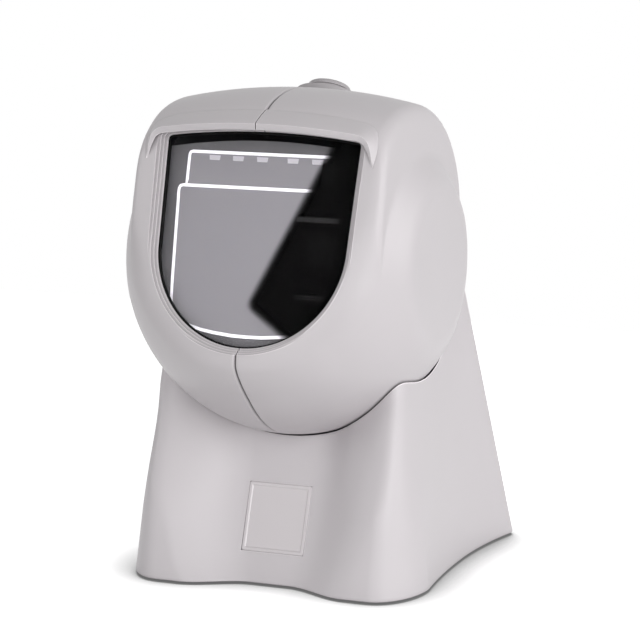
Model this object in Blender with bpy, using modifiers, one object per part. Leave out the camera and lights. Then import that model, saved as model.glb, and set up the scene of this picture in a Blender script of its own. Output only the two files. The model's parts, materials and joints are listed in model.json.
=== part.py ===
"""Hands-free presentation scanner: a ball-shaped scan head that tilts in the cradle of a weighted pedestal.

Lengths are in metres, +Z is up, the front faces -Y and the counter is at Z = 0.
"""

import math
from collections import namedtuple

import bmesh
import bpy
from mathutils import Vector

# Fits and facets
FIT = 0.0003
SEAM = 0.0003
OVERRUN = 0.001
RING_STEPS = 48
RIM_STEPS = 30
RIM_FROM = math.radians(-50)
RIM_TO = math.radians(75)
TURN_STEPS = 20
SCREW_STEPS = 10
HOLE_SIDES = 12

# Tilt axis, along X
AXIS_Y = -0.0095
AXIS_Z = 0.1026
TILT_LIMIT = math.radians(15)

# Head casing: a ball cut flat at its sides, with a narrower hood that arches over it
HEAD_RADIUS = 0.0565
BALL_HALF = 0.977 * HEAD_RADIUS
BALL_SIDE = 0.8655 * HEAD_RADIUS
BALL_EDGE = 0.0012
SHELL_WALL = 0.0022
HOOD_SIDE = 0.7469 * HEAD_RADIUS
HOOD_ARCH = 1.7876 * HEAD_RADIUS
HOOD_CORNER = 0.005
HOOD_FULL = math.radians(80)
CROWN_FLAT = 0.00155
CROWN_MIDDLE = math.radians(110)
CROWN_REACH = math.radians(45)
CHIN_PROUD = 0.002
CHIN_HALF = 0.030
CHIN_SPREAD = math.radians(18)

# Window rim, in a plane that leans back and faces the counter in front
RIM_REACH = 0.7398 * HEAD_RADIUS
RIM_TILT = math.radians(17.5)
RIM_ROUND = 0.008
RIM_ROUND_LEAST = 0.0025
RIM_ROUND_FROM = 0.030
BROW_FROM = math.radians(35)
BROW_TO = math.radians(50)
BROW_FADE = 0.8
WINDOW_RADIUS = 0.6018 * HEAD_RADIUS
WINDOW_CENTRE = -0.0513 * HEAD_RADIUS
WINDOW_TOP = 0.6336 * HEAD_RADIUS
WINDOW_TOP_HALF = 0.6177 * HEAD_RADIUS
WINDOW_ARCH = 4.124 * HEAD_RADIUS
WINDOW_CORNER = 0.004
STEP_COUNT = 3
SIDE_CROWDING = 1.7
STEP_WIDTH = 0.0008
STEP_DEPTH = 0.0009
LIP_WALL = 0.0005
POCKET_LAND = 0.001
COLLAR_WALL = 0.005
GASKET_THICKNESS = 0.0008
GASKET_SHOW = 0.0006
PANE_THICKNESS = 0.002

# Visor over the window
VISOR_FROM = math.radians(27)
VISOR_TO = math.radians(36.3)
VISOR_HALF = 0.6761 * HEAD_RADIUS
VISOR_WALL = 0.0024
VISOR_LIFT_BACK = 0.0006
VISOR_LIFT_LIP = 0.0017
HORN_WIDTH = 0.0036
HORN_DROP = 0.008
HORN_PROUD = 0.0016

# Optics behind the window
CHAMBER_WALL = 0.0016
CHAMBER_FLANGE = 0.002
CHAMBER_DEPTH = 0.021
FLANGE_GRIP = 0.0036
CHAMBER_BACK_HALF = 0.020
CHAMBER_BACK_HEIGHT = 0.015
BOARD_THICKNESS = 0.0016
LIGHT_BOARD_HALF = 0.0165
LIGHT_BOARD_HEIGHT = 0.0115
LIGHT_RADIUS = 0.0025
LIGHT_LENGTH = 0.004
BARREL_RADIUS = 0.006
BARREL_LENGTH = 0.012
BARREL_BORE = 0.0042
LENS_THICKNESS = 0.002
POST_RADIUS = 0.003
IMAGER_POST_LENGTH = 0.006

# Decoder board
CONNECTOR_HEIGHT = 0.009
MAIN_HALF = 0.030
MAIN_HEIGHT = 0.025
PILLAR_RADIUS = 0.0032
BEEPER_RADIUS = 0.006
BEEPER_HEIGHT = 0.0055

# Button on the crown
BUTTON_LEAN = math.radians(27)
BUTTON_RADIUS = 0.00665
BUTTON_PROUD = 0.0033
BUTTON_TRAVEL = 0.0015
BUTTON_PLAY = 0.00035
BUTTON_RIM = 0.0009
BUTTON_RIM_HEIGHT = 0.0012
COLLAR_FLANGE = 0.0101
COLLAR_FLANGE_HEIGHT = 0.0034
COLLAR_SINK = 0.001
COLLAR_SKIRT_WALL = 0.0008
COLLAR_SKIRT_REACH = 0.002
STEM_RADIUS = 0.0018
SPRING_ROOM = 0.0045
SPRING_RADIUS = 0.0038
SPRING_WIRE = 0.0003
SPRING_TURNS = 3.5
BRIDGE_THICKNESS = 0.0015
BRIDGE_DEPTH = 0.005
BRIDGE_LEG = 0.0045
SWITCH_SIDE = 0.006

# Screws
SCREW_RADIUS = 0.0014
SCREW_HEAD_RADIUS = 0.0027
SCREW_HEAD_HEIGHT = 0.0016
SCREW_GRIP = 0.007
BOSS_RADIUS = 0.0036
JOINT_SCREW_SEAT = 0.012
JOINT_UPPER = (0.6018 * HEAD_RADIUS, 0.6018 * HEAD_RADIUS)
JOINT_LOWER = (0.6726 * HEAD_RADIUS, -0.3894 * HEAD_RADIUS)
SCREW_CROWN = 0.7 * SCREW_HEAD_RADIUS

# Pedestal: two outlines with straight lines ruled between them, but for the flanks of the front scoop
BASE_TOP = 0.090
BASE_LIFT = 0.0008
BASE_WALL = 0.0025
CRADLE_GAP = 0.0012
REAR_ROUND = 0.004
HOLLOW_TOP = 0.063
BASE_LEVELS = 7
FLANK_POWER = 0.5
Outline = namedtuple(
    "Outline",
    "mid ridge flat ridge_from ridge_to corner corner_y waist waist_y rear rear_y",
)
FOOT_LINE = Outline(
    mid=-0.0355,
    ridge=-0.0433,
    flat=0.0055,
    ridge_from=0.0258,
    ridge_to=0.036,
    corner=0.0500,
    corner_y=-0.022,
    waist=0.0474,
    waist_y=0.018,
    rear=0.0520,
    rear_y=0.0613,
)
TOP_LINE = Outline(
    mid=-0.0027,
    ridge=-0.0277,
    flat=0.0125,
    ridge_from=0.0465,
    ridge_to=0.0402,
    corner=0.0405,
    corner_y=-0.0167,
    waist=0.0410,
    waist_y=0.006,
    rear=0.0445,
    rear_y=0.029,
)

# Pedestal fittings
PLATE_BOTTOM = 0.0016
PLATE_THICKNESS = 0.0022
FOOT_RADIUS = 0.006
FOOT_INSET = 0.013
SCREW_SINK = 0.0012
BALLAST_THICKNESS = 0.005
BALLAST_LENGTH = 0.042
BALLAST_MARGIN = 0.002
BALLAST_EDGE = 0.0008
LABEL_WIDTH = 0.0216
LABEL_HEIGHT = 0.0225
LABEL_THICKNESS = 0.001
LABEL_PROUD = 0.0004
LABEL_UP = 0.0209
SOCKET_WIDTH = 0.016
SOCKET_HEIGHT = 0.013
SOCKET_LENGTH = 0.0165
SOCKET_WALL = 0.002
SOCKET_DEPTH = 0.012
SOCKET_RECESS = 0.0006
INTERFACE_WIDTH = 0.042
INTERFACE_LENGTH = 0.030
INTERFACE_STAND = 0.004
HEADER_SIDE = 0.007
HEADER_HEIGHT = 0.006

# Tilt clamp: a hollow stud through a slot in the underside of the head
STUD_LEAN = math.radians(22.5)
STUD_RADIUS = 0.004
STUD_BORE = 0.0021
STUD_HEAD_RADIUS = 0.007
STUD_HEAD_HEIGHT = 0.002
SLOT_PLAY = 0.0006
SHOE_THICKNESS = 0.0026
SHOE_HALF = 0.0095
SHOE_REACH = math.radians(11)
SHOE_SEAT = 0.0006
WASHER_RADIUS = 0.006
WASHER_HEIGHT = 0.0012
NUT_RADIUS = 0.0068
NUT_HEIGHT = 0.004
PAD_THICKNESS = 0.0005
PAD_FROM = 0.013
PAD_TO = 0.025
PAD_REACH = math.radians(12)
HARNESS_RADIUS = 0.0013

# Places worked out from the sizes above
CROWN_RADIUS = HEAD_RADIUS - CROWN_FLAT
CHIN_ANGLE = math.acos(RIM_REACH / HEAD_RADIUS) - RIM_TILT + CHIN_SPREAD / 7
RIM_Y = -RIM_REACH
LIP_BACK = RIM_Y + STEP_COUNT * STEP_DEPTH + LIP_WALL
OPENING_INSET = STEP_COUNT * STEP_WIDTH
GASKET_FRONT = LIP_BACK + FIT
PANE_FRONT = GASKET_FRONT + GASKET_THICKNESS + FIT
CHAMBER_FRONT = PANE_FRONT + PANE_THICKNESS + FIT
FLANGE_FRONT = CHAMBER_FRONT + CHAMBER_FLANGE
COLLAR_BACK = FLANGE_FRONT - FIT
FLANGE_BACK = FLANGE_FRONT + CHAMBER_FLANGE
CHAMBER_BACK = FLANGE_BACK + CHAMBER_DEPTH
LIGHT_BOARD_FRONT = CHAMBER_BACK + FIT
IMAGER_FRONT = CHAMBER_BACK + IMAGER_POST_LENGTH + FIT
IMAGER_BACK = IMAGER_FRONT + BOARD_THICKNESS
MAIN_FRONT = IMAGER_BACK + CONNECTOR_HEIGHT + 2 * FIT
MAIN_BACK = MAIN_FRONT + BOARD_THICKNESS
IMAGER_POST_X = CHAMBER_BACK_HALF
MAIN_PILLAR_X = MAIN_HALF - PILLAR_RADIUS - OVERRUN
MAIN_PILLAR_Z = MAIN_HEIGHT - PILLAR_RADIUS - OVERRUN
SCREW_HOLE = SCREW_RADIUS + FIT
COLLAR_BASE = CROWN_RADIUS - COLLAR_SINK + FIT
COLLAR_TOP = COLLAR_BASE + COLLAR_FLANGE_HEIGHT
COLLAR_BORE = BUTTON_RADIUS + BUTTON_PLAY
COLLAR_SKIRT = COLLAR_BORE + COLLAR_SKIRT_WALL
COLLAR_FOOT = CROWN_RADIUS - SHELL_WALL - COLLAR_SKIRT_REACH
BUTTON_RIM_TOP = COLLAR_FOOT - FIT
BUTTON_FOOT = BUTTON_RIM_TOP - BUTTON_RIM_HEIGHT
BUTTON_TOP = COLLAR_TOP + BUTTON_PROUD
BRIDGE_TOP = BUTTON_FOOT - SPRING_ROOM
BRIDGE_FOOT = BRIDGE_TOP - BRIDGE_THICKNESS
SWITCH_BOARD_TOP = BRIDGE_FOOT - BRIDGE_LEG - FIT
SWITCH_BOARD_FOOT = SWITCH_BOARD_TOP - BOARD_THICKNESS
SWITCH_TOP = BRIDGE_FOOT - FIT
STEM_FOOT = SWITCH_TOP + BUTTON_TRAVEL + FIT
BRIDGE_BOSS_X = COLLAR_FLANGE + BOSS_RADIUS + OVERRUN
BRIDGE_HALF = BRIDGE_BOSS_X + BOSS_RADIUS
CRADLE_RADIUS = HEAD_RADIUS + CRADLE_GAP
BOWL_RADIUS = CRADLE_RADIUS + BASE_WALL
SLOT_HALF = STUD_RADIUS + SLOT_PLAY
SLOT_REACH = TILT_LIMIT + math.asin(SLOT_HALF / (HEAD_RADIUS - SHELL_WALL))
SHOE_OUTSIDE = HEAD_RADIUS - SHELL_WALL - FIT
SHOE_SPOT = SHOE_OUTSIDE - SHOE_THICKNESS + SHOE_SEAT
WASHER_FOOT = SHOE_SPOT - FIT
NUT_FOOT = WASHER_FOOT - WASHER_HEIGHT - FIT
STUD_TIP = NUT_FOOT - NUT_HEIGHT - OVERRUN
STUD_HEAD_TOP = BOWL_RADIUS + FIT
PLATE_TOP = PLATE_BOTTOM + PLATE_THICKNESS
BASE_POST_FOOT = PLATE_TOP + FIT
BASE_SCREW_SEAT = PLATE_BOTTOM + SCREW_SINK
POST_SIDE = FOOT_LINE.waist - BASE_WALL - BOSS_RADIUS - OVERRUN
BASE_POSTS = [
    (FOOT_LINE.ridge_to + OVERRUN, FOOT_LINE.corner_y),
    (-FOOT_LINE.ridge_to - OVERRUN, FOOT_LINE.corner_y),
    (POST_SIDE, FOOT_LINE.rear_y - FOOT_INSET),
    (-POST_SIDE, FOOT_LINE.rear_y - FOOT_INSET),
]
WALL_LEAN = math.atan((TOP_LINE.mid - FOOT_LINE.mid) / BASE_TOP)
REAR_LEAN = math.atan((FOOT_LINE.rear_y - TOP_LINE.rear_y) / BASE_TOP)
BOARD_Z = PLATE_TOP + INTERFACE_STAND + FIT
SOCKET_FOOT = BOARD_Z + BOARD_THICKNESS + FIT
SOCKET_END = FOOT_LINE.rear_y - (SOCKET_FOOT + SOCKET_HEIGHT) * math.tan(REAR_LEAN) - SOCKET_RECESS
INTERFACE_END = SOCKET_END - BASE_WALL
INTERFACE_START = INTERFACE_END - INTERFACE_LENGTH
BALLAST_START = FOOT_LINE.mid + BASE_WALL + 2 * BALLAST_MARGIN
BALLAST_HALF = FOOT_LINE.ridge_to + OVERRUN - BOSS_RADIUS - BALLAST_MARGIN


def clear_scene():
    """Remove what the file holds and make the two collections."""
    for old in list(bpy.data.objects):
        bpy.data.objects.remove(old, do_unlink=True)
    made = []
    for name in ("presentation_scanner", "cutters"):
        group = bpy.data.collections.new(name)
        bpy.context.scene.collection.children.link(group)
        made.append(group)
    return made


PARTS, CUTTERS = clear_scene()


def finish(name, colour, roughness, metallic=0.0, clear=0.0):
    """A Principled material with one plain finish."""
    material = bpy.data.materials.new(name)
    material.use_nodes = True
    shader = material.node_tree.nodes["Principled BSDF"]
    shader.inputs["Base Color"].default_value = (*colour, 1.0)
    shader.inputs["Roughness"].default_value = roughness
    shader.inputs["Metallic"].default_value = metallic
    shader.inputs["Transmission Weight"].default_value = clear
    material.diffuse_color = (*colour, 1.0)
    return material


GREY = (0.58, 0.56, 0.57)
BLACK = (0.015, 0.015, 0.016)
BOARD_GREEN = (0.02, 0.16, 0.07)
STEEL = (0.62, 0.62, 0.64)


def frame_at(name, parent, location, lean=0.0):
    """An empty that carries pieces: local Y and Z lean about X."""
    empty = bpy.data.objects.new(name, None)
    PARTS.objects.link(empty)
    empty.parent = parent
    empty.location = location
    empty.rotation_euler = (lean, 0, 0)
    return empty


PEDESTAL = frame_at("pedestal", None, (0, 0, 0))
CRADLE = frame_at("clamp_axis", PEDESTAL, (0, AXIS_Y, AXIS_Z), STUD_LEAN)
HEAD = frame_at("head_pivot", None, (0, AXIS_Y, AXIS_Z))
OPTICS = frame_at("optical_axis", HEAD, (0, 0, 0), -RIM_TILT)
CROWN = frame_at("button_axis", HEAD, (0, 0, 0), -BUTTON_LEAN)
LABEL_Y = FOOT_LINE.mid + LABEL_UP * math.tan(WALL_LEAN)
LABEL = frame_at("label_face", PEDESTAL, (0, LABEL_Y, LABEL_UP), -WALL_LEAN)


def place(name, mesh, parent, material=None):
    """Make the object: a part where it has a material, and otherwise a cutter."""
    made = bpy.data.objects.new(name, mesh)
    made.parent = parent
    if material:
        PARTS.objects.link(made)
        mesh.materials.append(material)
    else:
        CUTTERS.objects.link(made)
        made.hide_render = True
        made.display_type = "WIRE"
    mesh.shade_smooth()
    mesh.set_sharp_from_angle(angle=math.radians(30))
    return made


def mesh_from(name, form):
    """Turn a bmesh into a mesh whose faces point out."""
    bmesh.ops.recalc_face_normals(form, faces=form.faces)
    if form.calc_volume(signed=True) < 0:
        bmesh.ops.reverse_faces(form, faces=form.faces)
    mesh = bpy.data.meshes.new(name)
    form.to_mesh(mesh)
    form.free()
    return mesh


def modify(target, operation, *tools):
    """Cut or join each tool with the target."""
    for tool in tools:
        step = target.modifiers.new(tool.name, "BOOLEAN")
        step.operation = operation
        step.solver = "EXACT"
        step.object = tool
    return target


def soften(target, width, steps=2):
    """Round the sharp edges of a piece."""
    step = target.modifiers.new("edges", "BEVEL")
    step.width = width
    step.segments = steps
    step.limit_method = "ANGLE"
    step.angle_limit = math.radians(40)
    return target


def block(name, parent, low, high, material=None):
    """A box between two corners."""
    low = Vector(low)
    high = Vector(high)
    form = bmesh.new()
    bmesh.ops.create_cube(form, size=1.0)
    for corner in form.verts:
        share = corner.co + Vector((0.5, 0.5, 0.5))
        corner.co = low + Vector(a * b for a, b in zip(share, high - low))
    return place(name, mesh_from(name, form), parent, material)


def add_rod(form, radius, start, end, sides):
    """Add a closed cylinder between two points."""
    start = Vector(start)
    end = Vector(end)
    turn = (end - start).to_track_quat("Z", "Y").to_matrix().to_4x4()
    turn.translation = (start + end) / 2
    bmesh.ops.create_cone(
        form,
        cap_ends=True,
        segments=sides,
        radius1=radius,
        radius2=radius,
        depth=(end - start).length,
        matrix=turn,
    )


def rods(name, parent, radius, ends, material=None, sides=HOLE_SIDES):
    """Cylinders between pairs of points, in one object."""
    form = bmesh.new()
    for start, end in ends:
        add_rod(form, radius, start, end, sides)
    return place(name, mesh_from(name, form), parent, material)


def turned(
    name,
    parent,
    profile,
    material=None,
    location=(0, 0, 0),
    axis=(0, 0, 1),
    closed=True,
    steps=TURN_STEPS,
):
    """Turn a profile of (radius, height) points about an axis; it runs down its outer side."""
    form = bmesh.new()
    corners = [form.verts.new((radius, 0, height)) for radius, height in profile]
    for first, second in zip(corners, corners[1:]):
        form.edges.new((first, second))
    if closed:
        form.edges.new((corners[-1], corners[0]))
    mesh = bpy.data.meshes.new(name)
    form.to_mesh(mesh)
    form.free()
    made = place(name, mesh, parent, material)
    made.location = location
    made.rotation_euler = Vector(axis).to_track_quat("Z", "Y").to_euler()
    spin = made.modifiers.new("turn", "SCREW")
    spin.steps = steps
    spin.render_steps = steps
    spin.use_merge_vertices = True
    spin.merge_threshold = 0.00001
    spin.use_smooth_shade = True
    return made


def disc(name, parent, radius, top, foot, material=None, **place_at):
    """A plain round slab."""
    profile = [(0, top), (radius, top), (radius, foot), (0, foot)]
    return turned(name, parent, profile, material, closed=False, **place_at)


def washer(name, parent, outer, bore, top, foot, material=None, **place_at):
    """A round slab with a bore."""
    profile = [(bore, top), (outer, top), (outer, foot), (bore, foot)]
    return turned(name, parent, profile, material, **place_at)


def screw(name, parent, seat, direction, length, material):
    """A pan-head screw whose head rests on the seat and whose shank runs along the direction."""
    lift = SCREW_HEAD_HEIGHT + FIT
    profile = [
        (0, lift),
        (SCREW_CROWN, lift),
        (SCREW_HEAD_RADIUS, lift - SCREW_HEAD_HEIGHT / 3),
        (SCREW_HEAD_RADIUS, FIT),
        (SCREW_RADIUS, FIT),
        (SCREW_RADIUS, SCREW_RADIUS - length),
        (0, -length),
    ]
    made = turned(name, parent, profile, material, seat, -Vector(direction), False, SCREW_STEPS)
    return made


def loft(name, parent, rings, material=None):
    """Skin closed rings of equal count, with a cap at each end."""
    form = bmesh.new()
    rows = [[form.verts.new(point) for point in ring] for ring in rings]
    count = len(rows[0])
    for near, far in zip(rows, rows[1:]):
        for i in range(count):
            form.faces.new((near[i], near[(i + 1) % count], far[(i + 1) % count], far[i]))
    form.faces.new(rows[0])
    form.faces.new(rows[-1])
    return place(name, mesh_from(name, form), parent, material)


def plate(name, parent, outlines, y_front, thickness, material=None):
    """A flat outline in X and Z, with holes if more outlines follow, extruded along Y."""
    drawing = bpy.data.curves.new(name, "CURVE")
    drawing.dimensions = "2D"
    drawing.fill_mode = "BOTH"
    drawing.extrude = thickness / 2
    for outline in outlines:
        line = drawing.splines.new("POLY")
        line.points.add(len(outline) - 1)
        line.use_cyclic_u = True
        for point, (x, z) in zip(line.points, outline):
            point.co = (x, z, 0, 1)
    holder = bpy.data.objects.new(name, drawing)
    CUTTERS.objects.link(holder)
    bpy.context.view_layer.update()
    ready = holder.evaluated_get(bpy.context.evaluated_depsgraph_get())
    drawn = bpy.data.meshes.new_from_object(ready)
    form = bmesh.new()
    form.from_mesh(drawn)
    bmesh.ops.remove_doubles(form, verts=form.verts, dist=0.00001)
    for corner in form.verts:
        x, z, depth = corner.co
        corner.co = (x, y_front + thickness / 2 + depth, z)
    bpy.data.objects.remove(holder, do_unlink=True)
    bpy.data.meshes.remove(drawn)
    return place(name, mesh_from(name, form), parent, material)


def mix(low, high, share):
    return low + (high - low) * share


def ease(share):
    """Smooth step from 0 to 1."""
    share = min(1.0, max(0.0, share))
    return share * share * (3 - 2 * share)


def ring_angles():
    """Even angles about the tilt axis: 0 at the front, a quarter turn at the top."""
    return [2 * math.pi * step / RING_STEPS for step in range(RING_STEPS)]


def rim_angles():
    """Angles that lie closer together where the head is cut by the rim plane."""
    close = [mix(RIM_FROM, RIM_TO, step / RIM_STEPS) for step in range(RIM_STEPS)]
    rest = [mix(RIM_TO - 2 * math.pi, RIM_FROM, step / RIM_STEPS) for step in range(RIM_STEPS)]
    return rest + close


def middle_radius(angle):
    """Radius in the middle plane: the crown is a little flatter than the ball."""
    edge = math.cos(CROWN_REACH)
    share = (math.cos(angle - CROWN_MIDDLE) - edge) / (1 - edge)
    return HEAD_RADIUS - CROWN_FLAT * ease(share)


def hood_radius(x, middle, inset=0.0):
    """The hood's arch, which turns down at a rounded corner near its side."""
    corner = HOOD_CORNER - inset
    turn = min(1.0, max(0.0, (abs(x) - HOOD_SIDE + HOOD_CORNER) / corner))
    arch = middle * math.sqrt(1 - (x / HOOD_ARCH) ** 2)
    return arch - corner * (1 - math.sqrt(1 - turn * turn))


def head_radius(x, angle, inset=0.0):
    """Distance from the tilt axis to the casing, less an inset."""
    middle = middle_radius(angle) - inset
    round_part = middle * math.sqrt(max(0.0, 1 - (x / (BALL_HALF - inset)) ** 2))
    if abs(x) > HOOD_SIDE - inset + FIT / 2:
        return round_part
    hood = max(round_part, hood_radius(x, middle, inset))
    return mix(round_part, hood, ease(math.sin(angle) / math.sin(HOOD_FULL)))


def rim_radius(x, angle, radius):
    """Cut a radius back to the rim plane, with a round edge that is tight at the chin and the brow."""
    facing = math.cos(angle - RIM_TILT)
    if facing < math.cos(RIM_TO):
        return radius
    plane = RIM_REACH / facing
    brow = ease((angle - BROW_FROM) / (BROW_TO - BROW_FROM))
    share = ease(abs(x) / RIM_ROUND_FROM) * (1 - BROW_FADE * brow)
    edge = mix(RIM_ROUND_LEAST, RIM_ROUND, share)
    bite = max(0.0, edge - abs(radius - plane)) / edge
    return min(radius, plane) - bite * bite * edge / 4


def chin_bulge(x, angle):
    """The chin swells a little where the rim meets the round of the head."""
    off = (angle + CHIN_ANGLE + math.pi) % (2 * math.pi) - math.pi
    across = max(0.0, 1 - (x / CHIN_HALF) ** 2)
    return CHIN_PROUD * across * ease(1 - abs(off) / CHIN_SPREAD)


def around(x, radius, angle):
    return (x, -radius * math.cos(angle), radius * math.sin(angle))


def side_steps(start, end, count=11):
    """Places along X that crowd towards the side, where the casing turns in."""
    return [mix(start, end, 1 - (1 - i / count) ** SIDE_CROWDING) for i in range(count + 1)]


def head_half(name, hand, start, inset=0.0, material=None):
    """One half of the head's outer form, or of its hollow when inset."""
    side = HOOD_SIDE - inset
    flat = BALL_SIDE - BALL_EDGE - inset
    places = side_steps(start, side)
    places += [mix(side + FIT, flat, i / 3) for i in range(4)]
    rings = []
    for x in places:
        if inset:
            ring = [around(hand * x, head_radius(x, a, inset), a) for a in ring_angles()]
        else:
            swollen = [(head_radius(x, a) + chin_bulge(x, a), a) for a in rim_angles()]
            ring = [around(hand * x, rim_radius(x, a, radius), a) for radius, a in swollen]
        rings.append(ring)
    if not inset:
        last = [(head_radius(flat, a), a) for a in rim_angles()]
        turn = hand * (BALL_SIDE - BALL_EDGE / 4)
        rings.append([around(turn, radius - BALL_EDGE, a) for radius, a in last])
        rings.append([around(hand * BALL_SIDE, radius - 3 * BALL_EDGE, a) for radius, a in last])
    return loft(name, HEAD, rings, material)


def patch(name, parent, outer, inner, x_ends, angle_ends, material=None, a_count=4):
    """A closed piece of skin between two surfaces, each a function of x and angle."""
    x_count = 8
    form = bmesh.new()
    layers = []
    for surface in (outer, inner):
        grid = []
        for i in range(x_count + 1):
            x = mix(*x_ends, i / x_count)
            row = [mix(*angle_ends, j / a_count) for j in range(a_count + 1)]
            grid.append([form.verts.new(around(x, surface(x, a), a)) for a in row])
        layers.append(grid)
    for grid in layers:
        for i in range(x_count):
            for j in range(a_count):
                form.faces.new((grid[i][j], grid[i + 1][j], grid[i + 1][j + 1], grid[i][j + 1]))
    top, foot = layers
    edge = [(i, 0) for i in range(x_count)]
    edge += [(x_count, j) for j in range(a_count)]
    edge += [(i, a_count) for i in range(x_count, 0, -1)]
    edge += [(0, j) for j in range(a_count, 0, -1)]
    for (i, j), (k, m) in zip(edge, edge[1:] + edge[:1]):
        form.faces.new((top[i][j], top[k][m], foot[k][m], foot[i][j]))
    return place(name, mesh_from(name, form), parent, material)


def window_outline(inset):
    """The window's outline in the rim plane: a round chin, sides that spread, and an arched top."""
    radius = WINDOW_RADIUS - inset
    half = WINDOW_TOP_HALF - inset
    corner = max(WINDOW_CORNER - inset, WINDOW_CORNER / 4)

    def arch(x):
        return WINDOW_TOP - inset - x * x / (2 * WINDOW_ARCH)

    steps = 18
    points = []
    for i in range(steps + 1):
        turn = math.pi + math.pi * i / steps
        points.append((radius * math.cos(turn), WINDOW_CENTRE + radius * math.sin(turn)))
    peak = Vector((half, arch(half)))
    down = (Vector((radius, WINDOW_CENTRE)) - peak).normalized()
    start = peak + down * corner
    end = Vector((half - corner, arch(half - corner)))
    right = []
    for i in range(3):
        share = i / 3
        near = start.lerp(peak, share)
        right.append(tuple(near.lerp(peak.lerp(end, share), share)))
    top = []
    for i in range(5):
        x = mix(half - corner, 0, i / 4)
        top.append((x, arch(x)))
    crest = right + top
    left = [(-x, z) for x, z in reversed(crest[:-1])]
    return points + crest + left


def window_ring(y, inset):
    return [(x, y, z) for x, z in window_outline(inset)]


def base_section(z):
    """The pedestal's sizes at one height; the flanks of the front scoop spread fastest near the foot."""
    share = max(0.0, z / BASE_TOP)
    sizes = Outline(*(mix(low, high, share) for low, high in zip(FOOT_LINE, TOP_LINE)))
    spread = share ** FLANK_POWER
    flat = mix(FOOT_LINE.flat, TOP_LINE.flat, spread)
    ridge_from = mix(FOOT_LINE.ridge_from, TOP_LINE.ridge_from, spread)
    return sizes._replace(flat=flat, ridge_from=ridge_from)


def base_levels(low, high):
    """Heights between two ends, closest together near the foot."""
    return [mix(low, high, (i / BASE_LEVELS) ** 2) for i in range(BASE_LEVELS + 1)]


def base_ring(z, inset=0.0):
    """The pedestal's outline at one height, less an inset."""
    s = base_section(z)
    mid = s.mid + inset
    # Inside, the two front ridges fill up with height, so their hollow tapers like a moulding core
    filled = min(1.0, max(0.0, z / HOLLOW_TOP)) if inset else 0.0
    ridge = min(mix(s.ridge, s.mid, filled) + inset, s.corner_y - OVERRUN)
    corner = s.corner - inset
    ridge_from = min(s.ridge_from + inset, corner - 3 * FIT)
    ridge_to = min(max(s.ridge_to, ridge_from + FIT), corner - FIT)
    flat = min(s.flat + inset, ridge_from - FIT)
    waist = s.waist - inset
    rear = s.rear - inset
    rear_y = s.rear_y - inset
    steps = 5
    half = [(0.0, mid)]
    for i in range(steps + 1):
        half.append((mix(flat, ridge_from, i / steps), mix(mid, ridge, ease(i / steps))))
    for i in range(steps + 1):
        turn = math.pi / 2 * i / steps
        x = mix(ridge_to, corner, math.sin(turn))
        half.append((x, mix(s.corner_y, ridge, math.cos(turn))))
    for i in range(1, steps + 1):
        y = mix(s.corner_y, rear_y - REAR_ROUND, i / steps)
        if y < s.waist_y:
            spread = (corner - waist) * ((y - s.waist_y) / (s.corner_y - s.waist_y)) ** 2
        else:
            spread = (rear - waist) * ((y - s.waist_y) / (rear_y - REAR_ROUND - s.waist_y)) ** 2
        half.append((waist + spread, y))
    for i in range(1, 4):
        turn = math.pi / 2 * i / 3
        x = rear - REAR_ROUND * (1 - math.cos(turn))
        half.append((x, rear_y - REAR_ROUND * (1 - math.sin(turn))))
    half.append((0.0, rear_y))
    other = [(-x, y) for x, y in reversed(half[1:-1])]
    return [(x, y, z) for x, y in half + other]


def ball(name, parent, grow, material=None):
    """The head's lower round, grown by a clearance, as a full ball about the tilt axis."""
    half = BALL_HALF + grow
    count = 26
    rings = []
    for i in range(1, count):
        x = -half * math.cos(math.pi * i / count)
        radius = (HEAD_RADIUS + grow) * math.sin(math.pi * i / count)
        rings.append([around(x, radius, a) for a in ring_angles()])
    return loft(name, parent, rings, material)


def mesh_tube(name, parent, points, radius, material):
    """A round wire along points."""
    wire = bpy.data.curves.new(name, "CURVE")
    wire.dimensions = "3D"
    wire.bevel_depth = radius
    wire.bevel_resolution = 1
    wire.use_fill_caps = True
    line = wire.splines.new("POLY")
    line.points.add(len(points) - 1)
    for point, place_at in zip(line.points, points):
        point.co = (*place_at, 1)
    made = bpy.data.objects.new(name, wire)
    PARTS.objects.link(made)
    made.parent = parent
    wire.materials.append(material)
    return made


def smooth_route(points, steps=4):
    """Points along a smooth curve that passes through the given ones."""
    knots = [Vector(point) for point in points]
    knots = [knots[0]] + knots + [knots[-1]]
    route = []
    for a, b, c, d in zip(knots, knots[1:], knots[2:], knots[3:]):
        for i in range(steps):
            t = i / steps
            square = (2 * a - 5 * b + 4 * c - d) * t**2
            cube = (3 * b - a - 3 * c + d) * t**3
            route.append((2 * b + (c - a) * t + square + cube) / 2)
    route.append(knots[-1])
    return route


def board(name, parent, low, high, holes, material):
    """A circuit board with round holes along Y or Z."""
    made = block(name, parent, low, high, material)
    if holes:
        modify(made, "DIFFERENCE", holes)
    return made


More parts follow.
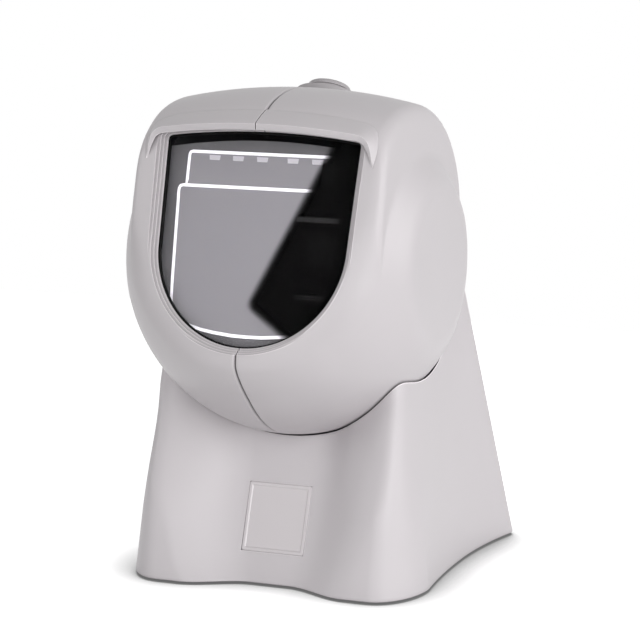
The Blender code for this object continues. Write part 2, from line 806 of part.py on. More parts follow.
def build_pedestal():
    """Casing, floor, feet, weight and label of the pedestal."""
    grey = finish("pedestal plastic", GREY, 0.55)
    shell_rings = [base_ring(z) for z in base_levels(BASE_LIFT, BASE_TOP)]
    shell = loft("base_shell", PEDESTAL, shell_rings, grey)
    cradle = ball("cradle_cut", CRADLE, CRADLE_GAP)
    bowl = ball("bowl_keep", CRADLE, CRADLE_GAP + BASE_WALL)
    hollow_rings = [base_ring(z, BASE_WALL) for z in base_levels(BASE_LIFT - OVERRUN, HOLLOW_TOP)]
    hollow = loft("base_hollow", PEDESTAL, hollow_rings)
    posts = [((x, y, BASE_POST_FOOT), (x, y, BASE_TOP)) for x, y in BASE_POSTS]
    keep_posts = rods("base_posts", PEDESTAL, BOSS_RADIUS, posts)
    modify(hollow, "DIFFERENCE", bowl, keep_posts)
    grip = BASE_POST_FOOT + SCREW_GRIP
    holes = [((x, y, -OVERRUN), (x, y, grip)) for x, y in BASE_POSTS]
    screw_holes = rods("base_screw_holes", PEDESTAL, SCREW_HOLE, holes)
    stud_way = [((0, 0, 0), (0, 0, -BOWL_RADIUS - OVERRUN))]
    stud_hole = rods("stud_hole", CRADLE, STUD_RADIUS + FIT, stud_way)
    half = SOCKET_WIDTH / 2 + FIT
    socket_hole = block(
        "socket_hole",
        PEDESTAL,
        (-half, SOCKET_END - SOCKET_LENGTH, SOCKET_FOOT - FIT),
        (half, FOOT_LINE.rear_y, SOCKET_FOOT + SOCKET_HEIGHT + FIT),
    )
    wide = LABEL_WIDTH / 2 + FIT
    tall = LABEL_HEIGHT / 2 + FIT
    depth = LABEL_THICKNESS - LABEL_PROUD
    label_seat = block("label_seat", LABEL, (-wide, -BASE_WALL, -tall), (wide, depth + FIT, tall))
    modify(shell, "DIFFERENCE", cradle, hollow, screw_holes, stud_hole, socket_hole, label_seat)

    label_finish = finish("label film", (0.62, 0.60, 0.61), 0.2)
    block(
        "label_plate",
        LABEL,
        (-LABEL_WIDTH / 2, -LABEL_PROUD, -LABEL_HEIGHT / 2),
        (LABEL_WIDTH / 2, depth, LABEL_HEIGHT / 2),
        label_finish,
    )

    inset = BASE_WALL + FIT
    floor_rings = [base_ring(PLATE_BOTTOM, inset), base_ring(PLATE_TOP, inset)]
    dark = finish("floor plastic", (0.06, 0.06, 0.065), 0.6)
    floor = loft("base_bottom_plate", PEDESTAL, floor_rings, dark)
    low = PLATE_TOP - PLATE_THICKNESS / 2
    high = PLATE_TOP + INTERFACE_STAND
    stands = [((x, y, low), (x, y, high)) for x, y in stand_places()]
    modify(floor, "UNION", rods("board_stands", PEDESTAL, POST_RADIUS, stands))
    stand_holes = [((x, y, PLATE_TOP), (x, y, BOARD_Z + OVERRUN)) for x, y in stand_places()]
    sinks = [((x, y, -OVERRUN), (x, y, BASE_SCREW_SEAT)) for x, y in BASE_POSTS]
    modify(
        floor,
        "DIFFERENCE",
        screw_holes,
        rods("base_screw_sinks", PEDESTAL, SCREW_HEAD_RADIUS + FIT, sinks),
        rods("stand_holes", PEDESTAL, SCREW_HOLE, stand_holes),
    )

    rubber = finish("foot rubber", (0.03, 0.03, 0.03), 0.8)
    steel = finish("screw steel", STEEL, 0.35, 1.0)
    for number, (x, y) in enumerate(BASE_POSTS, start=1):
        inward = x - math.copysign(FOOT_INSET, x)
        top = PLATE_BOTTOM - FIT
        disc(f"foot_{number}", PEDESTAL, FOOT_RADIUS, top, 0, rubber, location=(inward, y, 0))
        length = grip - BASE_SCREW_SEAT - OVERRUN
        screw(f"base_screw_{number}", PEDESTAL, (x, y, BASE_SCREW_SEAT), (0, 0, 1), length, steel)

    weight = block(
        "ballast_plate",
        PEDESTAL,
        (-BALLAST_HALF, BALLAST_START, PLATE_TOP + FIT),
        (BALLAST_HALF, BALLAST_START + BALLAST_LENGTH, PLATE_TOP + FIT + BALLAST_THICKNESS),
        finish("ballast steel", (0.35, 0.35, 0.36), 0.5, 1.0),
    )
    soften(weight, BALLAST_EDGE)


def stand_places():
    """The two pillars under the interface board."""
    x = INTERFACE_WIDTH / 2 - POST_RADIUS
    y = INTERFACE_START + POST_RADIUS + OVERRUN
    return [(x, y), (-x, y)]


def build_interface():
    """Board in the pedestal with the host socket and the header for the head's lead."""
    green = finish("interface laminate", BOARD_GREEN, 0.4)
    steel = finish("board screw steel", STEEL, 0.35, 1.0)
    top = BOARD_Z + BOARD_THICKNESS
    holes = [((x, y, BOARD_Z - OVERRUN), (x, y, top + OVERRUN)) for x, y in stand_places()]
    board(
        "interface_board",
        PEDESTAL,
        (-INTERFACE_WIDTH / 2, INTERFACE_START, BOARD_Z),
        (INTERFACE_WIDTH / 2, INTERFACE_END, top),
        rods("interface_holes", PEDESTAL, SCREW_HOLE, holes),
        green,
    )
    for number, (x, y) in enumerate(stand_places(), start=1):
        length = BOARD_THICKNESS + INTERFACE_STAND - OVERRUN
        screw(f"interface_screw_{number}", PEDESTAL, (x, y, top), (0, 0, -1), length, steel)
    half = SOCKET_WIDTH / 2
    socket = block(
        "cable_socket",
        PEDESTAL,
        (-half, SOCKET_END - SOCKET_LENGTH, SOCKET_FOOT),
        (half, SOCKET_END, SOCKET_FOOT + SOCKET_HEIGHT),
        finish("socket plastic", BLACK, 0.45),
    )
    mouth = block(
        "socket_mouth",
        PEDESTAL,
        (SOCKET_WALL - half, SOCKET_END - SOCKET_DEPTH, SOCKET_FOOT + SOCKET_WALL),
        (half - SOCKET_WALL, SOCKET_END + OVERRUN, SOCKET_FOOT + SOCKET_HEIGHT - SOCKET_WALL),
    )
    modify(socket, "DIFFERENCE", mouth)
    block(
        "harness_header",
        PEDESTAL,
        (-HEADER_SIDE / 2, header_y() - HEADER_SIDE / 2, top + FIT),
        (HEADER_SIDE / 2, header_y() + HEADER_SIDE / 2, top + FIT + HEADER_HEIGHT),
        finish("header plastic", (0.75, 0.72, 0.62), 0.5),
    )


def header_y():
    return INTERFACE_START + HEADER_SIDE


def build_clamp():
    """Glide pads in the cradle and the friction clamp through the slot of the head."""
    steel = finish("clamp steel", STEEL, 0.3, 1.0)
    felt = finish("pad felt", (0.10, 0.10, 0.10), 0.9)
    bottom = -math.pi / 2
    for side, hand in (("left", -1), ("right", 1)):
        patch(
            f"cradle_pad_{side}",
            CRADLE,
            lambda x, a: head_radius(x, a, -FIT - PAD_THICKNESS),
            lambda x, a: head_radius(x, a, -FIT),
            (hand * PAD_FROM, hand * PAD_TO),
            (bottom - PAD_REACH, bottom + PAD_REACH),
            felt,
        )
    shoe = patch(
        "clamp_shoe",
        CRADLE,
        lambda x, a: head_radius(x, a, SHELL_WALL + FIT),
        lambda x, a: head_radius(x, a, SHELL_WALL + FIT + SHOE_THICKNESS),
        (-SHOE_HALF, SHOE_HALF),
        (bottom - SHOE_REACH, bottom + SHOE_REACH),
        finish("shoe plastic", (0.80, 0.79, 0.74), 0.4),
    )
    spot = rods("shoe_spot", CRADLE, NUT_RADIUS + FIT, [((0, 0, 0), (0, 0, -SHOE_SPOT))])
    bore = rods("shoe_bore", CRADLE, STUD_RADIUS + FIT, [((0, 0, 0), (0, 0, -HEAD_RADIUS))])
    modify(shoe, "DIFFERENCE", spot, bore)
    stud = [
        (STUD_BORE, -STUD_TIP),
        (STUD_RADIUS, -STUD_TIP),
        (STUD_RADIUS, -STUD_HEAD_TOP),
        (STUD_HEAD_RADIUS, -STUD_HEAD_TOP),
        (STUD_HEAD_RADIUS, -STUD_HEAD_TOP - STUD_HEAD_HEIGHT),
        (STUD_BORE, -STUD_HEAD_TOP - STUD_HEAD_HEIGHT),
    ]
    turned("tilt_stud", CRADLE, stud, steel)
    bore_radius = STUD_RADIUS + FIT
    washer_top = WASHER_HEIGHT - WASHER_FOOT
    washer("spring_washer", CRADLE, WASHER_RADIUS, bore_radius, washer_top, -WASHER_FOOT, steel)
    nut_ends = [((0, 0, -NUT_FOOT), (0, 0, NUT_HEIGHT - NUT_FOOT))]
    nut = rods("lock_nut", CRADLE, NUT_RADIUS, nut_ends, steel, sides=6)
    modify(nut, "DIFFERENCE", bore)


def slot_cutter():
    """The arc slot in the underside of the head that lets the stud pass while the head tilts."""
    steps = 10
    middle = -math.pi / 2 - STUD_LEAN
    sweep = [middle + mix(-SLOT_REACH, SLOT_REACH, i / steps) for i in range(steps + 1)]
    outer = HEAD_RADIUS + OVERRUN
    inner = HEAD_RADIUS - SHELL_WALL - OVERRUN
    rings = []
    for x in (-SLOT_HALF, SLOT_HALF):
        ring = [around(x, outer, angle) for angle in sweep]
        ring += [around(x, inner, angle) for angle in reversed(sweep)]
        rings.append(ring)
    return loft("stud_slot", HEAD, rings)


def chamber_screw_places():
    """Screws through the chamber's flange into the thick rim, two a side."""
    ring = WINDOW_RADIUS + POCKET_LAND + COLLAR_WALL / 2
    low = math.radians(-57)
    places = []
    for hand in (-1, 1):
        places.append((hand * ring, WINDOW_CENTRE + BOSS_RADIUS))
        places.append((hand * ring * math.cos(low), WINDOW_CENTRE + ring * math.sin(low)))
    return places


def joint_places():
    """Two bosses along X that join the halves, behind the decoder board."""
    return {"upper": JOINT_UPPER, "lower": JOINT_LOWER}


def main_pillars():
    """Opposite corners of the decoder board."""
    return [(MAIN_PILLAR_X, MAIN_PILLAR_Z), (-MAIN_PILLAR_X, -MAIN_PILLAR_Z)]


def build_head_shells():
    """The two halves of the head casing."""
    deep = HEAD_RADIUS * 2
    front_wall = block("front_wall_keep", OPTICS, (-deep, -deep, -deep), (deep, LIP_BACK, deep))
    outside = -POCKET_LAND - COLLAR_WALL
    rim_rings = [window_ring(RIM_Y - OVERRUN, outside), window_ring(COLLAR_BACK, outside)]
    rim = loft("rim_keep", OPTICS, rim_rings)
    pillars = [((x, MAIN_BACK + FIT, z), (x, deep, z)) for x, z in main_pillars()]
    pillar_keep = rods("pillar_keep", OPTICS, PILLAR_RADIUS, pillars)
    joints = [((-deep, y, z), (deep, y, z)) for y, z in joint_places().values()]
    joint_keep = rods("joint_keep", HEAD, BOSS_RADIUS, joints)
    hangers = [((x, 0, BRIDGE_TOP + FIT), (x, 0, deep)) for x in (-BRIDGE_BOSS_X, BRIDGE_BOSS_X)]
    bridge_keep = rods("bridge_keep", CROWN, BOSS_RADIUS, hangers)

    rings = [window_ring(RIM_Y - OVERRUN, 0)]
    for step in range(STEP_COUNT):
        y = RIM_Y + (step + 1) * STEP_DEPTH
        rings.append(window_ring(y, step * STEP_WIDTH))
        rings.append(window_ring(y, (step + 1) * STEP_WIDTH))
    rings.append(window_ring(LIP_BACK, OPENING_INSET))
    rings.append(window_ring(LIP_BACK, -POCKET_LAND))
    rings.append(window_ring(COLLAR_BACK + OVERRUN, -POCKET_LAND))
    opening = loft("window_opening", OPTICS, rings)

    seat = [
        (0, HEAD_RADIUS + OVERRUN),
        (COLLAR_FLANGE + FIT, HEAD_RADIUS + OVERRUN),
        (COLLAR_FLANGE + FIT, COLLAR_BASE - FIT),
        (COLLAR_SKIRT + FIT, COLLAR_BASE - FIT),
        (COLLAR_SKIRT + FIT, COLLAR_FOOT),
        (0, COLLAR_FOOT),
    ]
    button_seat = turned("button_seat", CROWN, seat, closed=False)
    slot = slot_cutter()
    reach = SCREW_GRIP + OVERRUN
    flange_reach = FLANGE_FRONT - FLANGE_GRIP
    flange_holes = [((x, flange_reach, z), (x, FLANGE_BACK, z)) for x, z in chamber_screw_places()]
    pillar_holes = [((x, MAIN_BACK, z), (x, MAIN_BACK + reach, z)) for x, z in main_pillars()]
    joint_holes = [((-deep, y, z), (reach, y, z)) for y, z in joint_places().values()]
    joint_sinks = [((-deep, y, z), (-JOINT_SCREW_SEAT, y, z)) for y, z in joint_places().values()]
    hanger_end = BRIDGE_TOP + SCREW_GRIP / 2
    hanger_holes = [((x, 0, BRIDGE_TOP), (x, 0, hanger_end)) for x in (-BRIDGE_BOSS_X, BRIDGE_BOSS_X)]
    hole_sets = [
        rods("flange_screw_holes", OPTICS, SCREW_HOLE, flange_holes),
        rods("pillar_screw_holes", OPTICS, SCREW_HOLE, pillar_holes),
        rods("joint_screw_holes", HEAD, SCREW_HOLE, joint_holes),
        rods("joint_screw_sinks", HEAD, SCREW_HEAD_RADIUS + FIT, joint_sinks),
        rods("bridge_screw_holes", CROWN, SCREW_HOLE, hanger_holes),
    ]
    grey = finish("head plastic", GREY, 0.55)
    for side, hand in (("left", -1), ("right", 1)):
        shell = head_half(f"head_shell_{side}", hand, SEAM / 2, 0.0, grey)
        hollow = head_half(f"hollow_{side}", hand, -OVERRUN, SHELL_WALL)
        modify(hollow, "DIFFERENCE", front_wall, rim, pillar_keep, joint_keep, bridge_keep)
        modify(shell, "UNION", visor(side, hand), horn(side, hand))
        modify(shell, "DIFFERENCE", hollow, opening, button_seat, slot, *hole_sets)


def visor(side, hand):
    """The brim over the window: the crown runs on past the rim plane as a thin lip."""
    top = math.pi / 2

    def outer(x, angle):
        share = (top - angle - VISOR_FROM) / (VISOR_TO - VISOR_FROM)
        return hood_radius(x, HEAD_RADIUS) + mix(VISOR_LIFT_BACK, VISOR_LIFT_LIP, share)

    def inner(x, angle):
        return outer(x, angle) - VISOR_WALL

    reach = (hand * SEAM / 2, hand * VISOR_HALF)
    return patch(f"visor_{side}", HEAD, outer, inner, reach, (top - VISOR_FROM, top - VISOR_TO), a_count=3)


def horn(side, hand):
    """The brim's end, which tapers to a point down along the side of the window."""
    lip = math.sqrt(hood_radius(VISOR_HALF, HEAD_RADIUS) ** 2 - RIM_REACH**2)
    back = RIM_Y + 4 * OVERRUN
    rings = []
    for height, width, proud in ((lip, HORN_WIDTH, HORN_PROUD), (lip - HORN_DROP, FIT, -FIT)):
        far = hand * (VISOR_HALF - FIT)
        near = far - hand * width
        front = RIM_Y - proud
        corners = ((near, front), (far, front), (far, back), (near, back))
        rings.append([(x, y, height) for x, y in corners])
    return loft(f"horn_{side}", OPTICS, rings)


def build_window():
    """Gasket, pane and the dark chamber behind them."""
    edge = -POCKET_LAND + FIT
    shown = OPENING_INSET + GASKET_SHOW
    gasket = finish("gasket rubber", BLACK, 0.7)
    border = [window_outline(edge), window_outline(shown)]
    plate("window_gasket", OPTICS, border, GASKET_FRONT, GASKET_THICKNESS, gasket)
    pane = finish("smoked pane", (0.05, 0.05, 0.055), 0.03, 0.0, 0.9)
    plate("scan_window", OPTICS, [window_outline(edge)], PANE_FRONT, PANE_THICKNESS, pane)

    black = finish("chamber plastic", BLACK, 0.6)
    outside = -POCKET_LAND - COLLAR_WALL + FIT
    rings = [
        window_ring(CHAMBER_FRONT, edge),
        window_ring(FLANGE_FRONT, edge),
        window_ring(FLANGE_FRONT, outside),
        window_ring(FLANGE_BACK, outside),
        window_ring(FLANGE_BACK, edge),
    ]
    rings.append(back_ring(CHAMBER_BACK, 0))
    chamber = loft("optics_chamber", OPTICS, rings, black)
    inside = [
        window_ring(CHAMBER_FRONT - OVERRUN, edge + CHAMBER_WALL),
        window_ring(FLANGE_BACK, edge + CHAMBER_WALL),
        back_ring(CHAMBER_BACK - CHAMBER_WALL, CHAMBER_WALL),
    ]
    root = CHAMBER_BACK - CHAMBER_WALL / 2
    posts = [((x, root, 0), (x, IMAGER_FRONT - FIT, 0)) for x in (-IMAGER_POST_X, IMAGER_POST_X)]
    modify(chamber, "UNION", rods("imager_posts", OPTICS, POST_RADIUS, posts))
    trim = head_half("trim_left", -1, -OVERRUN, SHELL_WALL + FIT)
    modify(trim, "UNION", head_half("trim_right", 1, -OVERRUN, SHELL_WALL + FIT))
    modify(chamber, "INTERSECT", trim)
    near = CHAMBER_BACK - 2 * CHAMBER_WALL
    far = CHAMBER_BACK + OVERRUN
    ports = [((x, near, z), (x, far, z)) for x, z in light_places()]
    lens_port = [((0, near, 0), (0, far, 0))]
    post_holes = [((x, far, 0), (x, IMAGER_FRONT, 0)) for x in (-IMAGER_POST_X, IMAGER_POST_X)]
    start = FLANGE_FRONT - OVERRUN
    end = FLANGE_BACK + OVERRUN
    flange_holes = [((x, start, z), (x, end, z)) for x, z in chamber_screw_places()]
    modify(
        chamber,
        "DIFFERENCE",
        loft("chamber_hollow", OPTICS, inside),
        rods("light_ports", OPTICS, LIGHT_RADIUS + FIT, ports),
        rods("lens_port", OPTICS, BARREL_RADIUS + FIT, lens_port),
        rods("chamber_flange_holes", OPTICS, SCREW_HOLE, flange_holes),
        rods("imager_post_holes", OPTICS, SCREW_HOLE, post_holes),
    )
    steel = finish("chamber screw steel", STEEL, 0.35, 1.0)
    for number, (x, z) in enumerate(chamber_screw_places(), start=1):
        length = CHAMBER_FLANGE + FLANGE_GRIP - OVERRUN
        screw(f"chamber_screw_{number}", OPTICS, (x, FLANGE_BACK, z), (0, -1, 0), length, steel)


def back_ring(y, inset):
    """The chamber's back outline: an oval that keeps the window's point count."""
    half = CHAMBER_BACK_HALF + POST_RADIUS - inset
    height = CHAMBER_BACK_HEIGHT - inset
    turns = [math.atan2(z, x) for x, z in window_outline(0)]
    return [(half * math.cos(turn), y, height * math.sin(turn)) for turn in turns]


def light_places():
    """Four lamps around the lens."""
    x = LIGHT_BOARD_HALF - LIGHT_RADIUS - 2 * OVERRUN
    z = LIGHT_BOARD_HEIGHT - LIGHT_RADIUS - 2 * OVERRUN
    return [(-x, -z), (x, -z), (-x, z), (x, z)]


def build_camera():
    """Lamp board, lamps, imager board, lens barrel and lens."""
    green = finish("camera laminate", BOARD_GREEN, 0.4)
    lamp = finish("lamp resin", (0.85, 0.82, 0.70), 0.15)
    steel = finish("imager screw steel", STEEL, 0.35, 1.0)
    light_back = LIGHT_BOARD_FRONT + BOARD_THICKNESS
    hole = [((0, LIGHT_BOARD_FRONT - OVERRUN, 0), (0, light_back + OVERRUN, 0))]
    board(
        "light_board",
        OPTICS,
        (-LIGHT_BOARD_HALF, LIGHT_BOARD_FRONT, -LIGHT_BOARD_HEIGHT),
        (LIGHT_BOARD_HALF, light_back, LIGHT_BOARD_HEIGHT),
        rods("barrel_hole", OPTICS, BARREL_RADIUS + FIT, hole),
        green,
    )
    for number, (x, z) in enumerate(light_places(), start=1):
        profile = [
            (0, LIGHT_LENGTH),
            (LIGHT_RADIUS * 0.6, LIGHT_LENGTH - LIGHT_RADIUS * 0.2),
            (LIGHT_RADIUS, LIGHT_LENGTH - LIGHT_RADIUS),
            (LIGHT_RADIUS, 0),
            (0, 0),
        ]
        at = (x, LIGHT_BOARD_FRONT - FIT, z)
        turned(f"light_{number}", OPTICS, profile, lamp, location=at, axis=(0, -1, 0), closed=False)

    half = IMAGER_POST_X + POST_RADIUS
    places = (-IMAGER_POST_X, IMAGER_POST_X)
    holes = [((x, IMAGER_FRONT - OVERRUN, 0), (x, IMAGER_BACK + OVERRUN, 0)) for x in places]
    board(
        "imager_board",
        OPTICS,
        (-half, IMAGER_FRONT, -LIGHT_BOARD_HEIGHT),
        (half, IMAGER_BACK, LIGHT_BOARD_HEIGHT),
        rods("imager_holes", OPTICS, SCREW_HOLE, holes),
        green,
    )
    for number, x in enumerate(places, start=1):
        length = BOARD_THICKNESS + IMAGER_POST_LENGTH - 2 * OVERRUN
        screw(f"imager_screw_{number}", OPTICS, (x, IMAGER_BACK, 0), (0, -1, 0), length, steel)

    foot = (0, IMAGER_FRONT - FIT, 0)
    ledge = BARREL_LENGTH - 2 * LENS_THICKNESS
    barrel = [
        (BARREL_BORE, BARREL_LENGTH),
        (BARREL_RADIUS, BARREL_LENGTH),
        (BARREL_RADIUS, 0),
        (0, 0),
        (0, BOARD_THICKNESS),
        (BARREL_BORE - OVERRUN, BOARD_THICKNESS),
        (BARREL_BORE - OVERRUN, ledge),
        (BARREL_BORE, ledge),
    ]
    black = finish("barrel metal", BLACK, 0.4)
    turned("lens_barrel", OPTICS, barrel, black, location=foot, axis=(0, -1, 0))
    glass = [
        (0, ledge + LENS_THICKNESS),
        (BARREL_BORE * 0.6, ledge + LENS_THICKNESS * 0.85),
        (BARREL_BORE - FIT, ledge + LENS_THICKNESS * 0.5),
        (BARREL_BORE - FIT, ledge + FIT),
        (0, ledge + FIT),
    ]
    clear = finish("lens glass", (0.80, 0.85, 0.90), 0.02, 0.0, 0.9)
    turned("lens", OPTICS, glass, clear, location=foot, axis=(0, -1, 0), closed=False)


def build_decoder():
    """Main board on pillars of the casing, with its connector, beeper and lead plug."""
    green = finish("decoder laminate", BOARD_GREEN, 0.4)
    steel = finish("decoder screw steel", STEEL, 0.35, 1.0)
    holes = [((x, MAIN_FRONT - OVERRUN, z), (x, MAIN_BACK + OVERRUN, z)) for x, z in main_pillars()]
    board(
        "main_board",
        OPTICS,
        (-MAIN_HALF, MAIN_FRONT, -MAIN_HEIGHT),
        (MAIN_HALF, MAIN_BACK, MAIN_HEIGHT),
        rods("main_holes", OPTICS, SCREW_HOLE, holes),
        green,
    )
    for number, (x, z) in enumerate(main_pillars(), start=1):
        screw(f"main_screw_{number}", OPTICS, (x, MAIN_FRONT, z), (0, 1, 0), SCREW_GRIP, steel)
    block(
        "board_connector",
        OPTICS,
        (-LIGHT_BOARD_HALF / 2, IMAGER_BACK + FIT, LIGHT_BOARD_HEIGHT - BOARD_THICKNESS * 4),
        (LIGHT_BOARD_HALF / 2, MAIN_FRONT - FIT, LIGHT_BOARD_HEIGHT - BOARD_THICKNESS),
        finish("connector plastic", (0.72, 0.70, 0.62), 0.5),
    )
    place_at = (-MAIN_HALF / 2, MAIN_BACK + FIT, MAIN_HEIGHT / 2)
    beeper = [
        (0, BEEPER_HEIGHT),
        (BEEPER_RADIUS, BEEPER_HEIGHT),
        (BEEPER_RADIUS, 0),
        (0, 0),
    ]
    sounder = finish("beeper plastic", BLACK, 0.5)
    turned("beeper", OPTICS, beeper, sounder, location=place_at, axis=(0, 1, 0), closed=False)
    block(
        "harness_plug",
        OPTICS,
        (-HEADER_SIDE / 2, MAIN_BACK + FIT, -MAIN_HEIGHT + OVERRUN),
        (HEADER_SIDE / 2, MAIN_BACK + FIT + HEADER_HEIGHT, -MAIN_HEIGHT + OVERRUN + HEADER_SIDE),
        finish("plug plastic", (0.75, 0.72, 0.62), 0.5),
    )


def build_button():
    """Collar, button, return spring, bridge and switch, all along the button's axis."""
    dark = finish("button plastic", (0.42, 0.40, 0.41), 0.5)
    steel = finish("bridge screw steel", STEEL, 0.35, 1.0)
    collar = [
        (COLLAR_BORE, COLLAR_TOP),
        (COLLAR_FLANGE, COLLAR_TOP),
        (COLLAR_FLANGE, COLLAR_BASE),
        (COLLAR_SKIRT, COLLAR_BASE),
        (COLLAR_SKIRT, COLLAR_FOOT),
        (COLLAR_BORE, COLLAR_FOOT),
    ]
    turned("button_collar", CROWN, collar, finish("collar plastic", (0.45, 0.43, 0.44), 0.5))
    rim = BUTTON_RADIUS + BUTTON_RIM
    cap = [
        (0, BUTTON_TOP),
        (BUTTON_RADIUS * 0.75, BUTTON_TOP - BUTTON_PROUD * 0.1),
        (BUTTON_RADIUS * 0.95, BUTTON_TOP - BUTTON_PROUD * 0.3),
        (BUTTON_RADIUS, BUTTON_TOP - BUTTON_PROUD * 0.55),
        (BUTTON_RADIUS, BUTTON_RIM_TOP),
        (rim, BUTTON_RIM_TOP),
        (rim, BUTTON_FOOT),
        (STEM_RADIUS, BUTTON_FOOT),
        (STEM_RADIUS, STEM_FOOT),
        (0, STEM_FOOT),
    ]
    turned("trigger_button", CROWN, cap, dark, closed=False)

    coils = []
    low = BRIDGE_TOP + FIT + SPRING_WIRE
    high = BUTTON_FOOT - FIT - SPRING_WIRE
    steps = 9
    for i in range(int(SPRING_TURNS * steps) + 1):
        turn = 2 * math.pi * i / steps
        height = mix(low, high, i / (SPRING_TURNS * steps))
        coils.append((SPRING_RADIUS * math.cos(turn), SPRING_RADIUS * math.sin(turn), height))
    mesh_tube("button_spring", CROWN, coils, SPRING_WIRE, steel)

    bridge = block(
        "button_bridge",
        CROWN,
        (-BRIDGE_HALF, -BRIDGE_DEPTH, BRIDGE_FOOT),
        (BRIDGE_HALF, BRIDGE_DEPTH, BRIDGE_TOP),
        finish("bridge plastic", (0.12, 0.12, 0.13), 0.5),
    )
    places = (-BRIDGE_BOSS_X, BRIDGE_BOSS_X)
    legs = [((x, 0, BRIDGE_FOOT + BRIDGE_THICKNESS / 2), (x, 0, BRIDGE_FOOT - BRIDGE_LEG)) for x in places]
    holes = [((x, 0, SWITCH_BOARD_FOOT - OVERRUN), (x, 0, BRIDGE_TOP + OVERRUN)) for x in places]
    stem_hole = [((0, 0, BRIDGE_FOOT - OVERRUN), (0, 0, BRIDGE_TOP + OVERRUN))]
    modify(bridge, "UNION", rods("bridge_legs", CROWN, BOSS_RADIUS, legs))
    hole_tool = rods("bridge_holes", CROWN, SCREW_HOLE, holes)
    stem_tool = rods("stem_hole", CROWN, STEM_RADIUS + BUTTON_PLAY, stem_hole)
    modify(bridge, "DIFFERENCE", hole_tool, stem_tool)
    board(
        "switch_board",
        CROWN,
        (-BRIDGE_HALF, -BRIDGE_DEPTH, SWITCH_BOARD_FOOT),
        (BRIDGE_HALF, BRIDGE_DEPTH, SWITCH_BOARD_TOP),
        hole_tool,
        finish("switch laminate", BOARD_GREEN, 0.4),
    )
    half = SWITCH_SIDE / 2
    body_top = SWITCH_TOP - BRIDGE_LEG / 3
    switch = block(
        "trigger_switch",
        CROWN,
        (-half, -half, SWITCH_BOARD_TOP + FIT),
        (half, half, body_top),
        finish("switch plastic", BLACK, 0.4),
    )
    plunger = [((0, 0, body_top - OVERRUN), (0, 0, SWITCH_TOP))]
    modify(switch, "UNION", rods("switch_plunger", CROWN, STEM_RADIUS, plunger))
    length = BRIDGE_TOP - SWITCH_BOARD_FOOT + SCREW_GRIP / 3
    for side, x in zip(("left", "right"), places):
        screw(f"bridge_screw_{side}", CROWN, (x, 0, SWITCH_BOARD_FOOT), (0, 0, 1), length, steel)


def build_joint_screws():
    """Screws that join the two halves of the casing, driven from the left."""
    steel = finish("joint screw steel", STEEL, 0.35, 1.0)
    for which, (y, z) in joint_places().items():
        seat = (-JOINT_SCREW_SEAT, y, z)
        screw(f"shell_screw_{which}", HEAD, seat, (1, 0, 0), JOINT_SCREW_SEAT + SCREW_GRIP, steel)


def build_harness():
    """The lead from the pedestal's header through the hollow stud to the plug on the decoder board."""
    header_top = BOARD_Z + BOARD_THICKNESS + HEADER_HEIGHT + 2 * FIT
    plug_y = MAIN_BACK + FIT + HEADER_HEIGHT / 2
    plug_foot = -MAIN_HEIGHT + OVERRUN - FIT
    lean = -RIM_TILT
    plug = (
        0,
        AXIS_Y + plug_y * math.cos(lean) - plug_foot * math.sin(lean),
        AXIS_Z + plug_y * math.sin(lean) + plug_foot * math.cos(lean),
    )

    def below_plug(radii):
        drop = radii * HARNESS_RADIUS
        return (0, plug[1] + drop * math.sin(lean), plug[2] - drop * math.cos(lean))

    def along_stud(radius):
        return (0, AXIS_Y + radius * math.sin(STUD_LEAN), AXIS_Z - radius * math.cos(STUD_LEAN))

    under = STUD_HEAD_TOP + STUD_HEAD_HEIGHT
    below = along_stud(under + 5 * HARNESS_RADIUS)
    points = [
        (0, header_y(), header_top),
        (0, header_y(), header_top + 2 * HARNESS_RADIUS),
        (0, header_y(), header_top + 4 * HARNESS_RADIUS),
        (0, mix(header_y(), below[1], 0.6), mix(header_top, below[2], 0.65)),
        below,
        along_stud(under + HARNESS_RADIUS),
        along_stud(mix(STUD_TIP, under, 0.5)),
        along_stud(STUD_TIP - HARNESS_RADIUS),
        along_stud(STUD_TIP - 4 * HARNESS_RADIUS),
        below_plug(4),
        below_plug(2),
        plug,
    ]
    jacket = finish("lead jacket", (0.03, 0.03, 0.03), 0.5)
    mesh_tube("harness", PEDESTAL, smooth_route(points), HARNESS_RADIUS, jacket)


build_pedestal()
build_interface()
build_clamp()
build_head_shells()
build_window()
build_camera()
build_decoder()
build_button()
build_joint_screws()
build_harness()
bpy.context.view_layer.update()
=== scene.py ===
# %% [markdown]
# # A hands-free presentation scanner
#
# The object is a code scanner that stands on a shop counter. A ball-shaped head, cut flat at the front for
# its smoked window, nods in the cradle of a pedestal that spreads towards the counter.
# The CAD model already holds every solid and joint. This lesson dresses it: the large outer forms are made
# again at a much finer resolution, and every piece gets a procedural material.
# All sizes are in metres. The front faces -Y, and Z is up.

# %% Load the CAD frame
import json
import math
import bmesh
import bpy
from mathutils import Matrix, Vector

